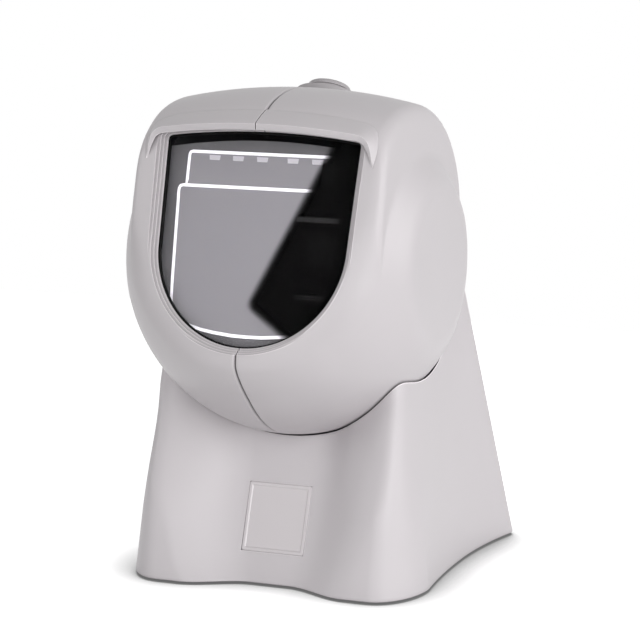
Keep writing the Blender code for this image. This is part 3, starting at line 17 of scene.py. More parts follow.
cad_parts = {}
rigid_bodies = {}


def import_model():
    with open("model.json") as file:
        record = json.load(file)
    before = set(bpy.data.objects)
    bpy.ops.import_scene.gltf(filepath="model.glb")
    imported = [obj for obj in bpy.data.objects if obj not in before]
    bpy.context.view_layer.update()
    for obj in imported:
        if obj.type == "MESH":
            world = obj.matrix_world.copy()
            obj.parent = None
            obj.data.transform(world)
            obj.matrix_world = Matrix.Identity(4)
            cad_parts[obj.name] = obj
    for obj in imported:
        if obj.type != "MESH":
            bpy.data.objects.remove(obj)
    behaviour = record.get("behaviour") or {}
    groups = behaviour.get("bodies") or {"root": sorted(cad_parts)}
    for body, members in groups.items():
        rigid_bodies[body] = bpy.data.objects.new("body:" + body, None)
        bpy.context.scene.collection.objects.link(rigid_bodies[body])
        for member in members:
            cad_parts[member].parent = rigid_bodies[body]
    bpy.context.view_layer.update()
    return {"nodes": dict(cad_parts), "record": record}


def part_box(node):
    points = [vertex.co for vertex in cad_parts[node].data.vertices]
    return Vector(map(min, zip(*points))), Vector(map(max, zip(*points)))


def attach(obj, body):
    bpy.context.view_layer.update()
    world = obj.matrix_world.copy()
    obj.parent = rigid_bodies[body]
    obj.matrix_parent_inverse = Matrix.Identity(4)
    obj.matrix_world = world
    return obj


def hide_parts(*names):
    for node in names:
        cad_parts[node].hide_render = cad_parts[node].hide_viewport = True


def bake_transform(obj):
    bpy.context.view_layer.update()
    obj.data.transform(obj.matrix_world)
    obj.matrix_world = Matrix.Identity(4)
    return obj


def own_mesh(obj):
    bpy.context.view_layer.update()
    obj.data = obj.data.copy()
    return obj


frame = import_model()

# %% [markdown]
# ## Camera
#
# The picture was taken from the scanner's right front, a little above it, with a long lens that keeps the
# sides nearly parallel. The view was found by fitting the pedestal's corners and the window's outline, so
# the numbers are a plain azimuth, a pitch and a place.

# %% The camera
LENS_MM = 151.875
SENSOR_MM = 36
CAMERA_PLACE = (0.3283, -0.8035, 0.2340)
AZIMUTH = math.radians(22)
PITCH = math.radians(10)
lens = bpy.data.cameras.new("camera")
lens.lens = LENS_MM
lens.sensor_width = SENSOR_MM
camera = bpy.data.objects.new("camera", lens)
camera.location = CAMERA_PLACE
camera.rotation_euler = (math.pi / 2 - PITCH, 0, AZIMUTH)
bpy.context.scene.collection.objects.link(camera)
bpy.context.scene.camera = camera
bpy.context.scene.view_settings.view_transform = "Standard"
print("camera", tuple(camera.location), "lens", LENS_MM)

# %% [markdown]
# ## Helpers for shapes
#
# Nearly every casing here is a loft: a row of closed rings, joined by quads, with a face on each end. A loft
# can follow a formula exactly, where a sculpted box with a subdivision modifier would only come close.
# Openings are cut with Blender's exact boolean, which keeps a clean, sharp edge where two forms meet.


# %% Loft, cut and finish
def mix(low, high, share):
    return low + (high - low) * share


def ease(share):
    share = min(1.0, max(0.0, share))
    return share * share * (3 - 2 * share)


def add_mesh(name, points, faces):
    """A mesh object in the scene, with its normals turned outwards."""
    form = bmesh.new()
    corners = [form.verts.new(p) for p in points]
    for face in faces:
        form.faces.new([corners[i] for i in face])
    bmesh.ops.recalc_face_normals(form, faces=form.faces)
    mesh = bpy.data.meshes.new(name)
    form.to_mesh(mesh)
    form.free()
    made = bpy.data.objects.new(name, mesh)
    bpy.context.scene.collection.objects.link(made)
    return made


def loft(name, rings, endless=False):
    """A body through rings of equal length: closed by two end faces, or endless, back to the first ring."""
    count, total = len(rings[0]), len(rings)
    points = [p for ring in rings for p in ring]
    faces = [] if endless else [tuple(range(count)), tuple(range(len(points) - count, len(points)))]
    for k in range(total if endless else total - 1):
        low, high = k * count, (k + 1) % total * count
        for i in range(count):
            j = (i + 1) % count
            faces.append((low + i, low + j, high + j, high + i))
    return add_mesh(name, points, faces)


def spaced(low, high, steps):
    return [mix(low, high, i / steps) for i in range(steps + 1)]


def circle(steps):
    """Cosine and sine at even steps around a circle."""
    turns = [2 * math.pi * i / steps for i in range(steps)]
    return [(math.cos(turn), math.sin(turn)) for turn in turns]


def turned(name, place, profile, steps=72):
    """Radius and height pairs, spun about the place's Z axis. Both ends lie on the axis."""
    points = [place @ Vector((0, 0, profile[0][1])), place @ Vector((0, 0, profile[-1][1]))]
    faces = []
    inner = profile[1:-1]
    for radius, height in inner:
        points += [place @ Vector((radius * c, radius * s, height)) for c, s in circle(steps)]
    last = 2 + (len(inner) - 1) * steps
    for i in range(steps):
        j = (i + 1) % steps
        faces.append((0, 2 + i, 2 + j))
        faces.append((1, last + j, last + i))
        for k in range(len(inner) - 1):
            low = 2 + k * steps
            faces.append((low + i, low + steps + i, low + steps + j, low + j))
    return add_mesh(name, points, faces)


def rod(name, place, radius, low, high):
    return turned(name, place, [(0, low), (radius, low), (radius, high), (0, high)], steps=40)


def cut(target, *tools, operation="DIFFERENCE"):
    """Takes the tools out of the target, or keeps only what they share, and clears them away."""
    for tool in tools:
        step = target.modifiers.new("cut", "BOOLEAN")
        step.operation = operation
        step.solver = "EXACT"
        step.object = tool
    graph = bpy.context.evaluated_depsgraph_get()
    made = bpy.data.meshes.new_from_object(target.evaluated_get(graph))
    target.modifiers.clear()
    target.data = made
    for tool in tools:
        bpy.data.objects.remove(tool)


def settle(piece, body, slot, *nodes, crease=35):
    """Smooth shading with crisp edges, the body it rides on, its finish, and the nodes it stands for."""
    piece.data.shade_smooth()
    piece.data.set_sharp_from_angle(angle=math.radians(crease))
    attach(piece, body)
    piece["finish"] = slot
    if nodes:
        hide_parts(*nodes)
    print(piece.name, "rides on", body, "with", len(piece.data.polygons), "faces")
    return piece


# %% [markdown]
# ## The head's form
#
# The lower head is a ball about the tilt axis, so it can nod in its cradle without opening a gap. Over it
# sits a hood that is narrower and flatter on top, like a loaf. Both are a radius about the tilt axis, so one
# function of the sideways place and the angle describes the whole skin.

# %% Radius of the head
TILT_AXIS = Vector((0, -0.0095, 0.1026))
HEAD_RADIUS = 0.0565
BALL_HALF = 0.0552
BALL_SIDE = 0.0489
BALL_ROUND_FROM = 0.0468
HOOD_SIDE = 0.0422
HOOD_ARCH = 0.101
HOOD_CORNER = 0.005
HOOD_FULL = math.radians(80)
CROWN_FLAT = 0.00155
CROWN_MIDDLE = math.radians(110)
CROWN_REACH = math.radians(45)


def around(x, radius, angle):
    """A point by its angle about the tilt axis: 0 is the front and a quarter turn is the top."""
    return TILT_AXIS + Vector((x, -radius * math.cos(angle), radius * math.sin(angle)))


def middle_radius(angle):
    edge = math.cos(CROWN_REACH)
    return HEAD_RADIUS - CROWN_FLAT * ease((math.cos(angle - CROWN_MIDDLE) - edge) / (1 - edge))


def hood_radius(x, middle, inset=0.0):
    corner = HOOD_CORNER - inset
    turn = min(1.0, max(0.0, (abs(x) - HOOD_SIDE + HOOD_CORNER) / corner))
    arch = middle * math.sqrt(1 - (x / HOOD_ARCH) ** 2)
    return arch - corner * (1 - math.sqrt(1 - turn * turn))


def ball_radius(x, angle, inset=0.0):
    return (middle_radius(angle) - inset) * math.sqrt(max(0.0, 1 - (x / (BALL_HALF - inset)) ** 2))


def head_radius(x, angle, inset=0.0):
    round_part = ball_radius(x, angle, inset)
    hood = max(round_part, hood_radius(x, middle_radius(angle) - inset, inset))
    return mix(round_part, hood, ease(math.sin(angle) / math.sin(HOOD_FULL)))


print("crown radius", round(middle_radius(CROWN_MIDDLE), 5), "chin radius", HEAD_RADIUS)

# %% [markdown]
# ## Rim, chin and seam
#
# The front of the ball is sliced off by a plane that looks a little upwards. The slice's edge is rolled over
# generously at the sides and only a little under the brow. A low swelling under the window is the chin.
# The casing is two mouldings that meet on the middle plane, and each rolls down into the joint line.

# %% Rim, chin and seam
RIM_REACH = 0.0418
RIM_TILT = math.radians(17.5)
RIM_ROUND = 0.008
RIM_ROUND_LEAST = 0.0025
RIM_ROUND_FROM = 0.030
RIM_TO = math.radians(75)
BROW_FROM = math.radians(35)
BROW_TO = math.radians(50)
BROW_FADE = 0.8
CHIN_PROUD = 0.00137
CHIN_HALF = 0.030
CHIN_SPREAD = math.radians(18)
CHIN_ANGLE = math.acos(RIM_REACH / HEAD_RADIUS) - RIM_TILT + CHIN_SPREAD / 7
SEAM_HALF = 0.0002
SEAM_ROLL = 0.0006
SEAM_DROP = 0.0006


def rim_radius(x, angle, radius):
    facing = math.cos(angle - RIM_TILT)
    if facing < math.cos(RIM_TO):
        return radius
    plane = RIM_REACH / facing
    brow = ease((angle - BROW_FROM) / (BROW_TO - BROW_FROM))
    share = ease(abs(x) / RIM_ROUND_FROM) * (1 - BROW_FADE * brow)
    edge = mix(RIM_ROUND_LEAST, RIM_ROUND, share)
    bite = max(0.0, edge - abs(radius - plane)) / edge
    return min(radius, plane) - bite * bite * edge / 4


def chin_bulge(x, angle):
    off = (angle + CHIN_ANGLE + math.pi) % (2 * math.pi) - math.pi
    return CHIN_PROUD * max(0.0, 1 - (x / CHIN_HALF) ** 2) * ease(1 - abs(off) / CHIN_SPREAD)


def seam_roll(x):
    near = max(0.0, 1 - (abs(x) - SEAM_HALF) / SEAM_ROLL)
    return SEAM_DROP * near * near


def skin_radius(x, angle):
    """The finished outside of the casing."""
    return rim_radius(x, angle, head_radius(x, angle) + chin_bulge(x, angle)) - seam_roll(x)


print("rim plane", RIM_REACH, "from the tilt axis, tilted", round(math.degrees(RIM_TILT), 1), "degrees")

# %% [markdown]
# ## The window's outline
#
# The window is round below and nearly square above: half a circle, sides that spread as they rise, and a
# top that follows the arch of the brow. The same outline, drawn smaller each time, also makes the three thin
# steps around the glass, the rubber frame and the pane, so they always nest.

# %% Window outline
WINDOW_RADIUS = 0.034
WINDOW_CENTRE = -0.0029
WINDOW_TOP = 0.0358
WINDOW_TOP_HALF = 0.0349
WINDOW_ARCH = 0.233
WINDOW_CORNER = 0.004
CHIN_STEPS, SIDE_STEPS, CORNER_STEPS, CREST_STEPS = 72, 6, 10, 16
OPTICS = Matrix.Translation(TILT_AXIS) @ Matrix.Rotation(-RIM_TILT, 4, "X")


def window_outline(inset):
    radius = WINDOW_RADIUS - inset
    half = WINDOW_TOP_HALF - inset
    corner = max(WINDOW_CORNER - inset, WINDOW_CORNER / 4)

    def arch(x):
        return WINDOW_TOP - inset - x * x / (2 * WINDOW_ARCH)

    chin = []
    for i in range(CHIN_STEPS + 1):
        turn = math.pi + math.pi * i / CHIN_STEPS
        chin.append((radius * math.cos(turn), WINDOW_CENTRE + radius * math.sin(turn)))
    peak = Vector((half, arch(half)))
    foot = Vector((radius, WINDOW_CENTRE))
    start = peak + (foot - peak).normalized() * corner
    end = Vector((half - corner, arch(half - corner)))
    crest = [tuple(start.lerp(foot, 1 - i / SIDE_STEPS)) for i in range(1, SIDE_STEPS)]
    for i in range(CORNER_STEPS):
        t = i / CORNER_STEPS
        crest.append(tuple(start.lerp(peak, t).lerp(peak.lerp(end, t), t)))
    crest += [(x, arch(x)) for x in spaced(half - corner, 0, CREST_STEPS)]
    return chin + crest + [(-x, z) for x, z in reversed(crest[:-1])]


def in_window(x, depth, z):
    """A point at a distance in front of the tilt axis, along the way the window looks."""
    return OPTICS @ Vector((x, -depth, z))


def window_ring(depth, inset):
    return [in_window(x, depth, z) for x, z in window_outline(inset)]


print("window outline has", len(window_outline(0)), "points")

# %% [markdown]
# ## Casing halves
#
# Each half is a loft of rings from the middle plane out to the round side. The rings crowd together at the
# seam and where the hood's wall drops to the ball, and that inner corner is then relaxed, as the real
# moulding is blended there. The window opening is one stepped plug, so all its steps are cut at once.

# %% Casing halves
SHELL_WALL = 0.0022
STEP_COUNT = 3
STEP_WIDTH = 0.0008
STEP_DEPTH = 0.0009
STEP_EDGE = 0.0001
LIP_BACK = RIM_REACH - STEP_COUNT * STEP_DEPTH - 0.0005
BEHIND_PANE = 0.0325
PLUG_PROUD = 0.002
SEAM_SHARES = (0, 0.12, 0.3, 0.6, 1, 1.6)
FLAT_FROM, FLAT_TO, FLAT_STEPS = 0.002, 0.036, 26
HOOD_EDGE_FROM, HOOD_EDGE_STEPS = 0.0365, 16
WALL_FOOT, WALL_STEPS = HOOD_SIDE + 0.0002, 8
ROUND_STEPS = 12
SHOULDER_FROM, SHOULDER_TO, SHOULDER_RISE = 0.0395, 0.0480, 0.02
INSIDE_FROM, INSIDE_HOOD, INSIDE_TO, INSIDE_STEPS = -0.001, 0.0398, 0.0462, 24
LEAST_FACING = 0.1
ANGLES = [math.radians(a) for a in range(-180, 180)]


def casing_places():
    places = [SEAM_HALF + SEAM_ROLL * share for share in SEAM_SHARES]
    places += spaced(FLAT_FROM, FLAT_TO, FLAT_STEPS)
    return places + spaced(HOOD_EDGE_FROM, HOOD_SIDE, HOOD_EDGE_STEPS)


def casing_rings(hand):
    """Seam to hood side, down the hood's wall to the ball, and round the ball's side."""
    rings = [[around(hand * x, skin_radius(x, a), a) for a in ANGLES] for x in casing_places()]
    for i in range(1, WALL_STEPS + 1):
        share = i / WALL_STEPS
        x = mix(HOOD_SIDE, WALL_FOOT, share)
        ring = []
        for a in ANGLES:
            low = rim_radius(WALL_FOOT, a, ball_radius(WALL_FOOT, a))
            ring.append(around(hand * x, mix(skin_radius(HOOD_SIDE, a), low, share), a))
        rings.append(ring)
    start = BALL_ROUND_FROM
    for x in spaced(WALL_FOOT, start, WALL_STEPS)[1:]:
        rings.append([around(hand * x, rim_radius(x, a, ball_radius(x, a)), a) for a in ANGLES])
    lean = math.atan(HEAD_RADIUS ** 2 * start / (BALL_HALF ** 2 * ball_radius(start, 0)))
    bend = (BALL_SIDE - start) / (1 - math.sin(lean))
    for turn in spaced(lean, math.pi / 2, ROUND_STEPS)[1:]:
        x = start + bend * (math.sin(turn) - math.sin(lean))
        drop = bend * (math.cos(lean) - math.cos(turn))
        rings.append([around(hand * x, ball_radius(start, a) - drop, a) for a in ANGLES])
    return rings


def relax_shoulder(casing, rounds=24):
    """Smooths only the inner corner where the hood's wall meets the ball."""
    group = casing.vertex_groups.new(name="shoulder")
    for v in casing.data.vertices:
        side = abs(v.co.x)
        upper = ease((v.co.z - TILT_AXIS.z) / SHOULDER_RISE)
        weight = ease((side - SHOULDER_FROM) / 0.002) * ease((SHOULDER_TO - side) / 0.004) * upper
        if weight > 0:
            group.add([v.index], weight, "REPLACE")
    step = casing.modifiers.new("relax", "SMOOTH")
    step.factor = 0.5
    step.iterations = rounds
    step.vertex_group = "shoulder"


def inside_radius(x, angle):
    """The inner skin, held back behind the window's lip."""
    if x < INSIDE_HOOD:
        radius = head_radius(min(x, HOOD_SIDE - SHELL_WALL), angle, SHELL_WALL)
    else:
        radius = ball_radius(x, angle, SHELL_WALL)
    facing = math.cos(angle - RIM_TILT)
    return min(radius, LIP_BACK / facing) if facing > LEAST_FACING else radius


def casing_hollow(hand):
    rings = []
    for x in spaced(INSIDE_FROM, INSIDE_TO, INSIDE_STEPS):
        rings.append([around(hand * x, inside_radius(x, a), a) for a in ANGLES[::4]])
    return loft("casing_hollow", rings)


def window_plug():
    rings = [window_ring(RIM_REACH + PLUG_PROUD, -STEP_EDGE), window_ring(RIM_REACH, -STEP_EDGE)]
    for step in range(STEP_COUNT):
        top = RIM_REACH - step * STEP_DEPTH
        inset = step * STEP_WIDTH
        rings.append(window_ring(top - STEP_EDGE, inset))
        rings.append(window_ring(top - STEP_DEPTH, inset))
        rings.append(window_ring(top - STEP_DEPTH, inset + STEP_WIDTH - STEP_EDGE))
    inset = STEP_COUNT * STEP_WIDTH
    rings.append(window_ring(RIM_REACH - STEP_COUNT * STEP_DEPTH - STEP_EDGE, inset))
    rings.append(window_ring(BEHIND_PANE, inset))
    return loft("window_plug", rings)


print("places across each half:", len(casing_places()))

# %% [markdown]
# Two more openings go through the casing: a stepped seat in the crown for the trigger's collar, and an arc
# slot underneath that lets the clamp stud pass while the head nods. The left half also has the two sunk
# holes through which the halves are screwed together.

# %% Casing openings
BUTTON_LEAN = math.radians(27)
CROWN = Matrix.Translation(TILT_AXIS) @ Matrix.Rotation(-BUTTON_LEAN, 4, "X")
CROWN_RADIUS = HEAD_RADIUS - CROWN_FLAT
COLLAR_FLANGE = 0.0107
COLLAR_BASE = CROWN_RADIUS - 0.0007
FIT = 0.0003
SEAT_TOP, SEAT_BORE, SEAT_FOOT = 0.06, 0.0081, 0.045
STUD_LEAN = math.radians(22.5)
SLOT_HALF = 0.0046
SLOT_REACH = math.radians(20)
SLOT_OUT, SLOT_IN, SLOT_STEPS = 0.0595, 0.050, 20
SINK_RADIUS, SINK_FROM, SINK_TO = 0.003, 0.012, 0.07
JOINT_HOLES = ((0.034, 0.034), (0.038, -0.022))


def collar_seat():
    wide, low = COLLAR_FLANGE + FIT, COLLAR_BASE - FIT
    profile = [(0, SEAT_TOP), (wide, SEAT_TOP), (wide, low)]
    profile += [(SEAT_BORE, low), (SEAT_BORE, SEAT_FOOT), (0, SEAT_FOOT)]
    return turned("collar_seat", CROWN, profile)


def stud_slot():
    middle = -math.pi / 2 - STUD_LEAN
    sweep = [middle + turn for turn in spaced(-SLOT_REACH, SLOT_REACH, SLOT_STEPS)]
    rings = []
    for x in (-SLOT_HALF, SLOT_HALF):
        ring = [around(x, SLOT_OUT, a) for a in sweep]
        rings.append(ring + [around(x, SLOT_IN, a) for a in reversed(sweep)])
    return loft("stud_slot", rings)


def joint_sink(y, z):
    spot = Matrix.Translation(TILT_AXIS + Vector((0, y, z))) @ Matrix.Rotation(-math.pi / 2, 4, "Y")
    return rod("joint_sink", spot, SINK_RADIUS, SINK_FROM, SINK_TO)


casings = {}
for side, hand in (("left", -1), ("right", 1)):
    casing = loft(f"head_casing_{side}", casing_rings(hand))
    relax_shoulder(casing)
    tools = [casing_hollow(hand), window_plug(), collar_seat(), stud_slot()]
    if side == "left":
        tools += [joint_sink(y, z) for y, z in JOINT_HOLES]
    cut(casing, *tools)
    casings[side] = settle(casing, "head", "head_plastic", f"head_shell_{side}")

# %% [markdown]
# ## The brim
#
# The hood runs on past the rim as a thin brim that keeps shop lights off the glass. Its ends turn down past
# the window's upper corners and taper to points. It is a loft along its lip: at each place a section runs
# from the crease on the hood to the rounded lip, and back underneath into the casing. Two control lines, the
# crease and the lip, meet in the point, which gives the taper without any sculpting. The lip's line also
# carries the brim's thickness.

# %% Brim lines
CREASE_LINE = [
    (0.0, 62.5), (0.010, 62.5), (0.020, 62.5), (0.029, 62.4), (0.0338, 61.8),
    (0.0366, 59.8), (0.0380, 56.4), (0.0386, 52.4), (0.0384, 49.0), (0.0379, 46.2),
]
LIP_LINE = [
    (0.0, 0.0470, 0.0344, 0.0020), (0.010, 0.0467, 0.0342, 0.0020), (0.020, 0.0461, 0.0337, 0.0020),
    (0.029, 0.0450, 0.0330, 0.0020), (0.0335, 0.0444, 0.0324, 0.0019), (0.0357, 0.0440, 0.0310, 0.0017),
    (0.0367, 0.0435, 0.0292, 0.0014), (0.0373, 0.0429, 0.0270, 0.0010), (0.0376, 0.0423, 0.0249, 0.0006),
    (0.0378, 0.0416, 0.0229, 0.0002),
]
BRIM_STEPS = 8
CREASE_LIFT = 0.00025
CREASE_SINK = 0.0015
TOP_STEPS, TOP_SHARE = 4, 0.93
LIP_RAKE = 0.3
BRIM_ROOT = 0.0405
NEARBY = 0.01


def follow(points, share):
    """A smooth curve through control points of any width, from 0 to 1."""
    spot = share * (len(points) - 1)
    k = min(int(spot), len(points) - 2)
    t = spot - k
    before, start, end, after = (points[min(max(k + i, 0), len(points) - 1)] for i in (-1, 0, 1, 2))
    made = []
    for p, a, b, n in zip(before, start, end, after):
        made.append(a + t / 2 * (b - p + t * (2 * p - 5 * a + 4 * b - n + t * (3 * (a - b) + n - p))))
    return made


def polar(spot):
    """Sideways place, radius and angle about the tilt axis of a point in the window's own directions."""
    x, depth, height = spot
    return x, math.hypot(depth, height), math.atan2(height, depth) + RIM_TILT


def brim_section(share, hand):
    crease_x, crease_angle = follow(CREASE_LINE, share)
    *lip, thick = follow(LIP_LINE, share)
    ahead = follow(LIP_LINE, min(1.0, share + NEARBY))
    behind = follow(LIP_LINE, max(0.0, share - NEARBY))
    along = Vector((ahead[0] - behind[0], ahead[2] - behind[2])).normalized()
    inward = Vector((along.y, -along.x))
    crease_x = max(crease_x, SEAM_HALF)
    lip[0] = max(lip[0], SEAM_HALF)
    angle = math.radians(crease_angle)
    base = skin_radius(max(crease_x, 0.001), angle)
    x, radius, lip_angle = polar(lip)
    points = [around(hand * crease_x, base - CREASE_SINK, angle)]
    points.append(around(hand * crease_x, base - 0.0001, angle + 0.012))
    for i in range(TOP_STEPS + 1):
        s = i / TOP_STEPS * TOP_SHARE
        place = hand * mix(crease_x, x, s)
        points.append(around(place, mix(base + CREASE_LIFT, radius, s), mix(angle, lip_angle, s)))
    top = Vector(lip)
    foot = top + Vector((inward.x, -LIP_RAKE, inward.y)) * thick
    if share == 0 or lip[0] <= SEAM_HALF:
        foot.x = lip[0]
    root = Vector((top.x - inward.x * 0.4 * thick, BRIM_ROOT, top.z - inward.y * 0.4 * thick))
    corner = [(top * 0.97 + foot * 0.03), top.lerp(foot, 0.2), top.lerp(foot, 0.8)]
    corner += [foot.lerp(root, 0.03), foot.lerp(root, 0.12)]
    for p in corner + [root]:
        points.append(in_window(hand * p.x, p.y, p.z))
    return points


for side, hand in (("left", -1), ("right", 1)):
    count = BRIM_STEPS * (len(LIP_LINE) - 1)
    sections = [brim_section(i / count, hand) for i in range(count + 1)]
    settle(loft(f"brim_{side}", sections), "head", "head_plastic", crease=50)

# %% [markdown]
# ## Window frame and pane
#
# Behind the steps sits a thin black rubber frame, and behind that the smoked pane. Both follow the window's
# outline at fine steps, because the CAD outline's short straight edges would show in the reflections.

# %% Window frame and pane
GASKET_THICK = 0.0008
PANE_THICK = 0.002
GASKET_FRONT = LIP_BACK - FIT
GASKET_BACK = GASKET_FRONT - GASKET_THICK
PANE_FRONT = GASKET_BACK - FIT
PANE_BACK = PANE_FRONT - PANE_THICK
OPENING_INSET = STEP_COUNT * STEP_WIDTH
GASKET_SHOW = 0.0006


def ring_plate(name, front, back, outer, inner, edge=0.0001):
    """A flat frame between two outlines, with a fine edge at the front of its opening."""
    levels = [(back, outer), (front, outer), (front, inner - edge), (front - edge, inner), (back, inner)]
    return loft(name, [window_ring(depth, inset) for depth, inset in levels], endless=True)


window_frame = ring_plate("window_frame", GASKET_FRONT, GASKET_BACK, 0.0, OPENING_INSET + GASKET_SHOW)
settle(window_frame, "head", "gasket_rubber", "window_gasket")
pane = loft("smoked_pane", [window_ring(PANE_BACK, 0.0), window_ring(PANE_FRONT, 0.0)])
settle(pane, "head", "smoked_pane", "scan_window")
pane.visible_shadow = False

# %% [markdown]
# ## Screens behind the pane
#
# Through the pane one sees two grey sheets with white edges. The lower one is cut to the window's round shape,
# and five small clips hold the upper one. They hang one before the other in the mouth of the dark optics
# chamber, on a darker backing sheet. On the right lies painted shade: a film that turns from clear to black
# stands for the shadow across that side. Five faint ribs on it are coloured as they look in that shade, which
# is partly painted shade too. All of these are cut sheets, so each is made as an outline in the window's plane
# with a small thickness.

# %% Screens
MOUTH_INSET = 0.0016
EDGE_WIDE = 0.001
UPPER_HALF = [
    (0, 0.0276), (-0.012, 0.0276), (-0.0256, 0.0276), (-0.0266, 0.0272), (-0.0270, 0.0261), (-0.0270, 0.0240),
    (-0.0269, 0.018), (-0.0268, 0.014), (0, 0.014),
]
LOWER_HALF = [
    (0, 0.0167), (-0.014, 0.0167), (-0.0274, 0.0167), (-0.0286, 0.0163), (-0.0291, 0.0153), (-0.0292, 0.0140),
    (-0.0290, 0.0112), (-0.0287, 0.0047), (-0.0284, -0.0015), (-0.0281, -0.0073), (-0.0278, -0.0132),
    (-0.0274, -0.0192), (-0.0271, -0.0212), (-0.0264, -0.0232), (-0.0253, -0.0250), (-0.0238, -0.0264),
    (-0.0220, -0.0275), (-0.0200, -0.0284), (-0.0158, -0.0295), (-0.0113, -0.0302), (-0.005, -0.0308),
    (0, -0.0309),
]
CLIP_SHAPE = ((0.0019, 0.0261), (-0.0019, 0.0261), (-0.0017, 0.0246), (0.0017, 0.0246))
CLIPS = (-0.0177, -0.0097, -0.0015, 0.0088, 0.0170)
# Five faint ribs in the painted shade. Their tones are their own, darkened as they look in that shade: partly
# painted shade.
RIBS_IN_PAINTED_SHADE = (
    (0.0125, 0.0263, 0.0064, 0.0080, "rib_light"),
    (0.0190, 0.0243, 0.0183, 0.0250, "rib_dark"),
    (0.0165, 0.0262, -0.0069, 0.0030, "rib_dark"),
    (0.0145, 0.0240, -0.0168, -0.0164, "rib_light"),
    (0.0145, 0.0240, -0.0176, -0.0173, "rib_light"),
)
# Each sheet's front depth. The film is the painted shade, and the ribs lie on it.
FRONT = dict(
    backing=0.0341, edge_upper=0.0343, upper=0.0344, edge_lower=0.0346, lower=0.0347, clip=0.0346, film=0.0349,
    rib=0.0350,
)
PAINTED_SHADE_THICK = 0.0001
RIB_THICK = 0.00005
BROW_HEIGHT, BROW_ARCH = 0.0314, 2.6


def both_sides(half):
    """A whole outline from its left half, which starts and ends on the middle line."""
    return half + [(-x, z) for x, z in reversed(half[1:-1])]


def shrunk(outline, by):
    """The outline, moved inwards all round by a distance."""
    made = []
    for i, (x, z) in enumerate(outline):
        after = Vector(outline[(i + 1) % len(outline)])
        along = (after - Vector(outline[i - 1])).normalized()
        made.append((x - along.y * by, z + along.x * by))
    return made


def hang(name, slot, outline, front, thick=0.0004):
    """A flat sheet in the window's plane."""
    rings = [[in_window(x, depth, z) for x, z in outline] for depth in (front - thick, front)]
    return settle(loft(name, rings), "head", slot)


def within(outline, limit):
    """The outline, pulled back to the limit where it lies farther from the middle."""
    made = []
    for x, z in outline:
        nearest = min(limit, key=lambda p: abs(math.atan2(p[0] * z - p[1] * x, p[0] * x + p[1] * z)))
        made.append((x, z) if math.hypot(x, z) < math.hypot(*nearest) else tuple(nearest))
    return made


def below_brow(x, z):
    return x, min(z, BROW_HEIGHT - BROW_ARCH * x * x)


mouth = window_outline(MOUTH_INSET)
upper, lower = both_sides(UPPER_HALF), both_sides(LOWER_HALF)
hang("screen_backing", "screen_dark", [below_brow(x, z) for x, z in mouth], FRONT["backing"])
hang("screen_edge_upper", "screen_white", upper, FRONT["edge_upper"])
hang("screen_upper", "screen_grey", shrunk(upper, EDGE_WIDE), FRONT["upper"])
hang("screen_edge_lower", "screen_white", within(lower, mouth), FRONT["edge_lower"])
hang("screen_lower", "screen_grey", within(shrunk(lower, EDGE_WIDE), mouth), FRONT["lower"])
for number, x in enumerate(CLIPS, start=1):
    hang(f"screen_clip_{number}", "screen_pale", [(x + dx, z) for dx, z in CLIP_SHAPE], FRONT["clip"])
# A sheet that turns from clear to black: painted shade over the right of the window.
hang("painted_shade_film", "painted_shade_film", mouth, FRONT["film"], PAINTED_SHADE_THICK)
# The ribs, coloured as they look in the shade: partly painted shade.
for number, (x_low, x_high, z_low, z_high, slot) in enumerate(RIBS_IN_PAINTED_SHADE, start=1):
    patch = [(x_high, z_high), (x_low, z_high), (x_low, z_low), (x_high, z_low)]
    hang(f"chamber_rib_{number}", slot, patch, FRONT["rib"], RIB_THICK)

# %% [markdown]
# ## Pedestal
#
# The pedestal's outline changes from foot to top: a flat middle in front between two ridges, rounded front
# corners, slightly hollow flanks and a rounded back. Blending two outlines by height gives the straight
# sloping sides of a moulding that can leave its tool. Towards the top the ridges and front corners are evened
# out into one soft curve, by moving each point a little towards the middle of its neighbours many times.

# %% Pedestal outline
FOOT_LINE = dict(
    mid=-0.0355, ridge=-0.0433, flat=0.0055, ridge_from=0.0258, ridge_to=0.036, corner=0.0500,
    corner_y=-0.022, waist=0.0474, waist_y=0.018, rear=0.0520, rear_y=0.0613,
)
TOP_LINE = dict(
    mid=-0.0027, ridge=-0.0277, flat=0.0125, ridge_from=0.0465, ridge_to=0.0402, corner=0.0405,
    corner_y=-0.0167, waist=0.0410, waist_y=0.006, rear=0.0445, rear_y=0.029,
)
BASE_TOP = 0.090
BASE_LIFT = 0.0008
BASE_WALL = 0.0025
REAR_ROUND = 0.004
HOLLOW_TOP = 0.063
FLANK_POWER = 0.5
SOFT_FROM = 0.25
SOFT_FULL = 0.65
SOFT_ROUNDS = 240
SOFT_ENDS = 6
FLANK_CROWD = 1.5
REAR_STEPS, BACK_STEPS = 8, 6


def soften(half, first, last, amount):
    """Evens out the run of points from first to last, as a blended corner of the moulding."""
    for _ in range(SOFT_ROUNDS):
        after = list(half)
        for i in range(first, last):
            hold = amount * 0.5 * ease((i - first) / SOFT_ENDS) * ease((last - i) / SOFT_ENDS)
            even = [(a + b) / 2 for a, b in zip(half[i - 1], half[i + 1])]
            after[i] = tuple(mix(a, b, hold) for a, b in zip(half[i], even))
        half = after
    return half


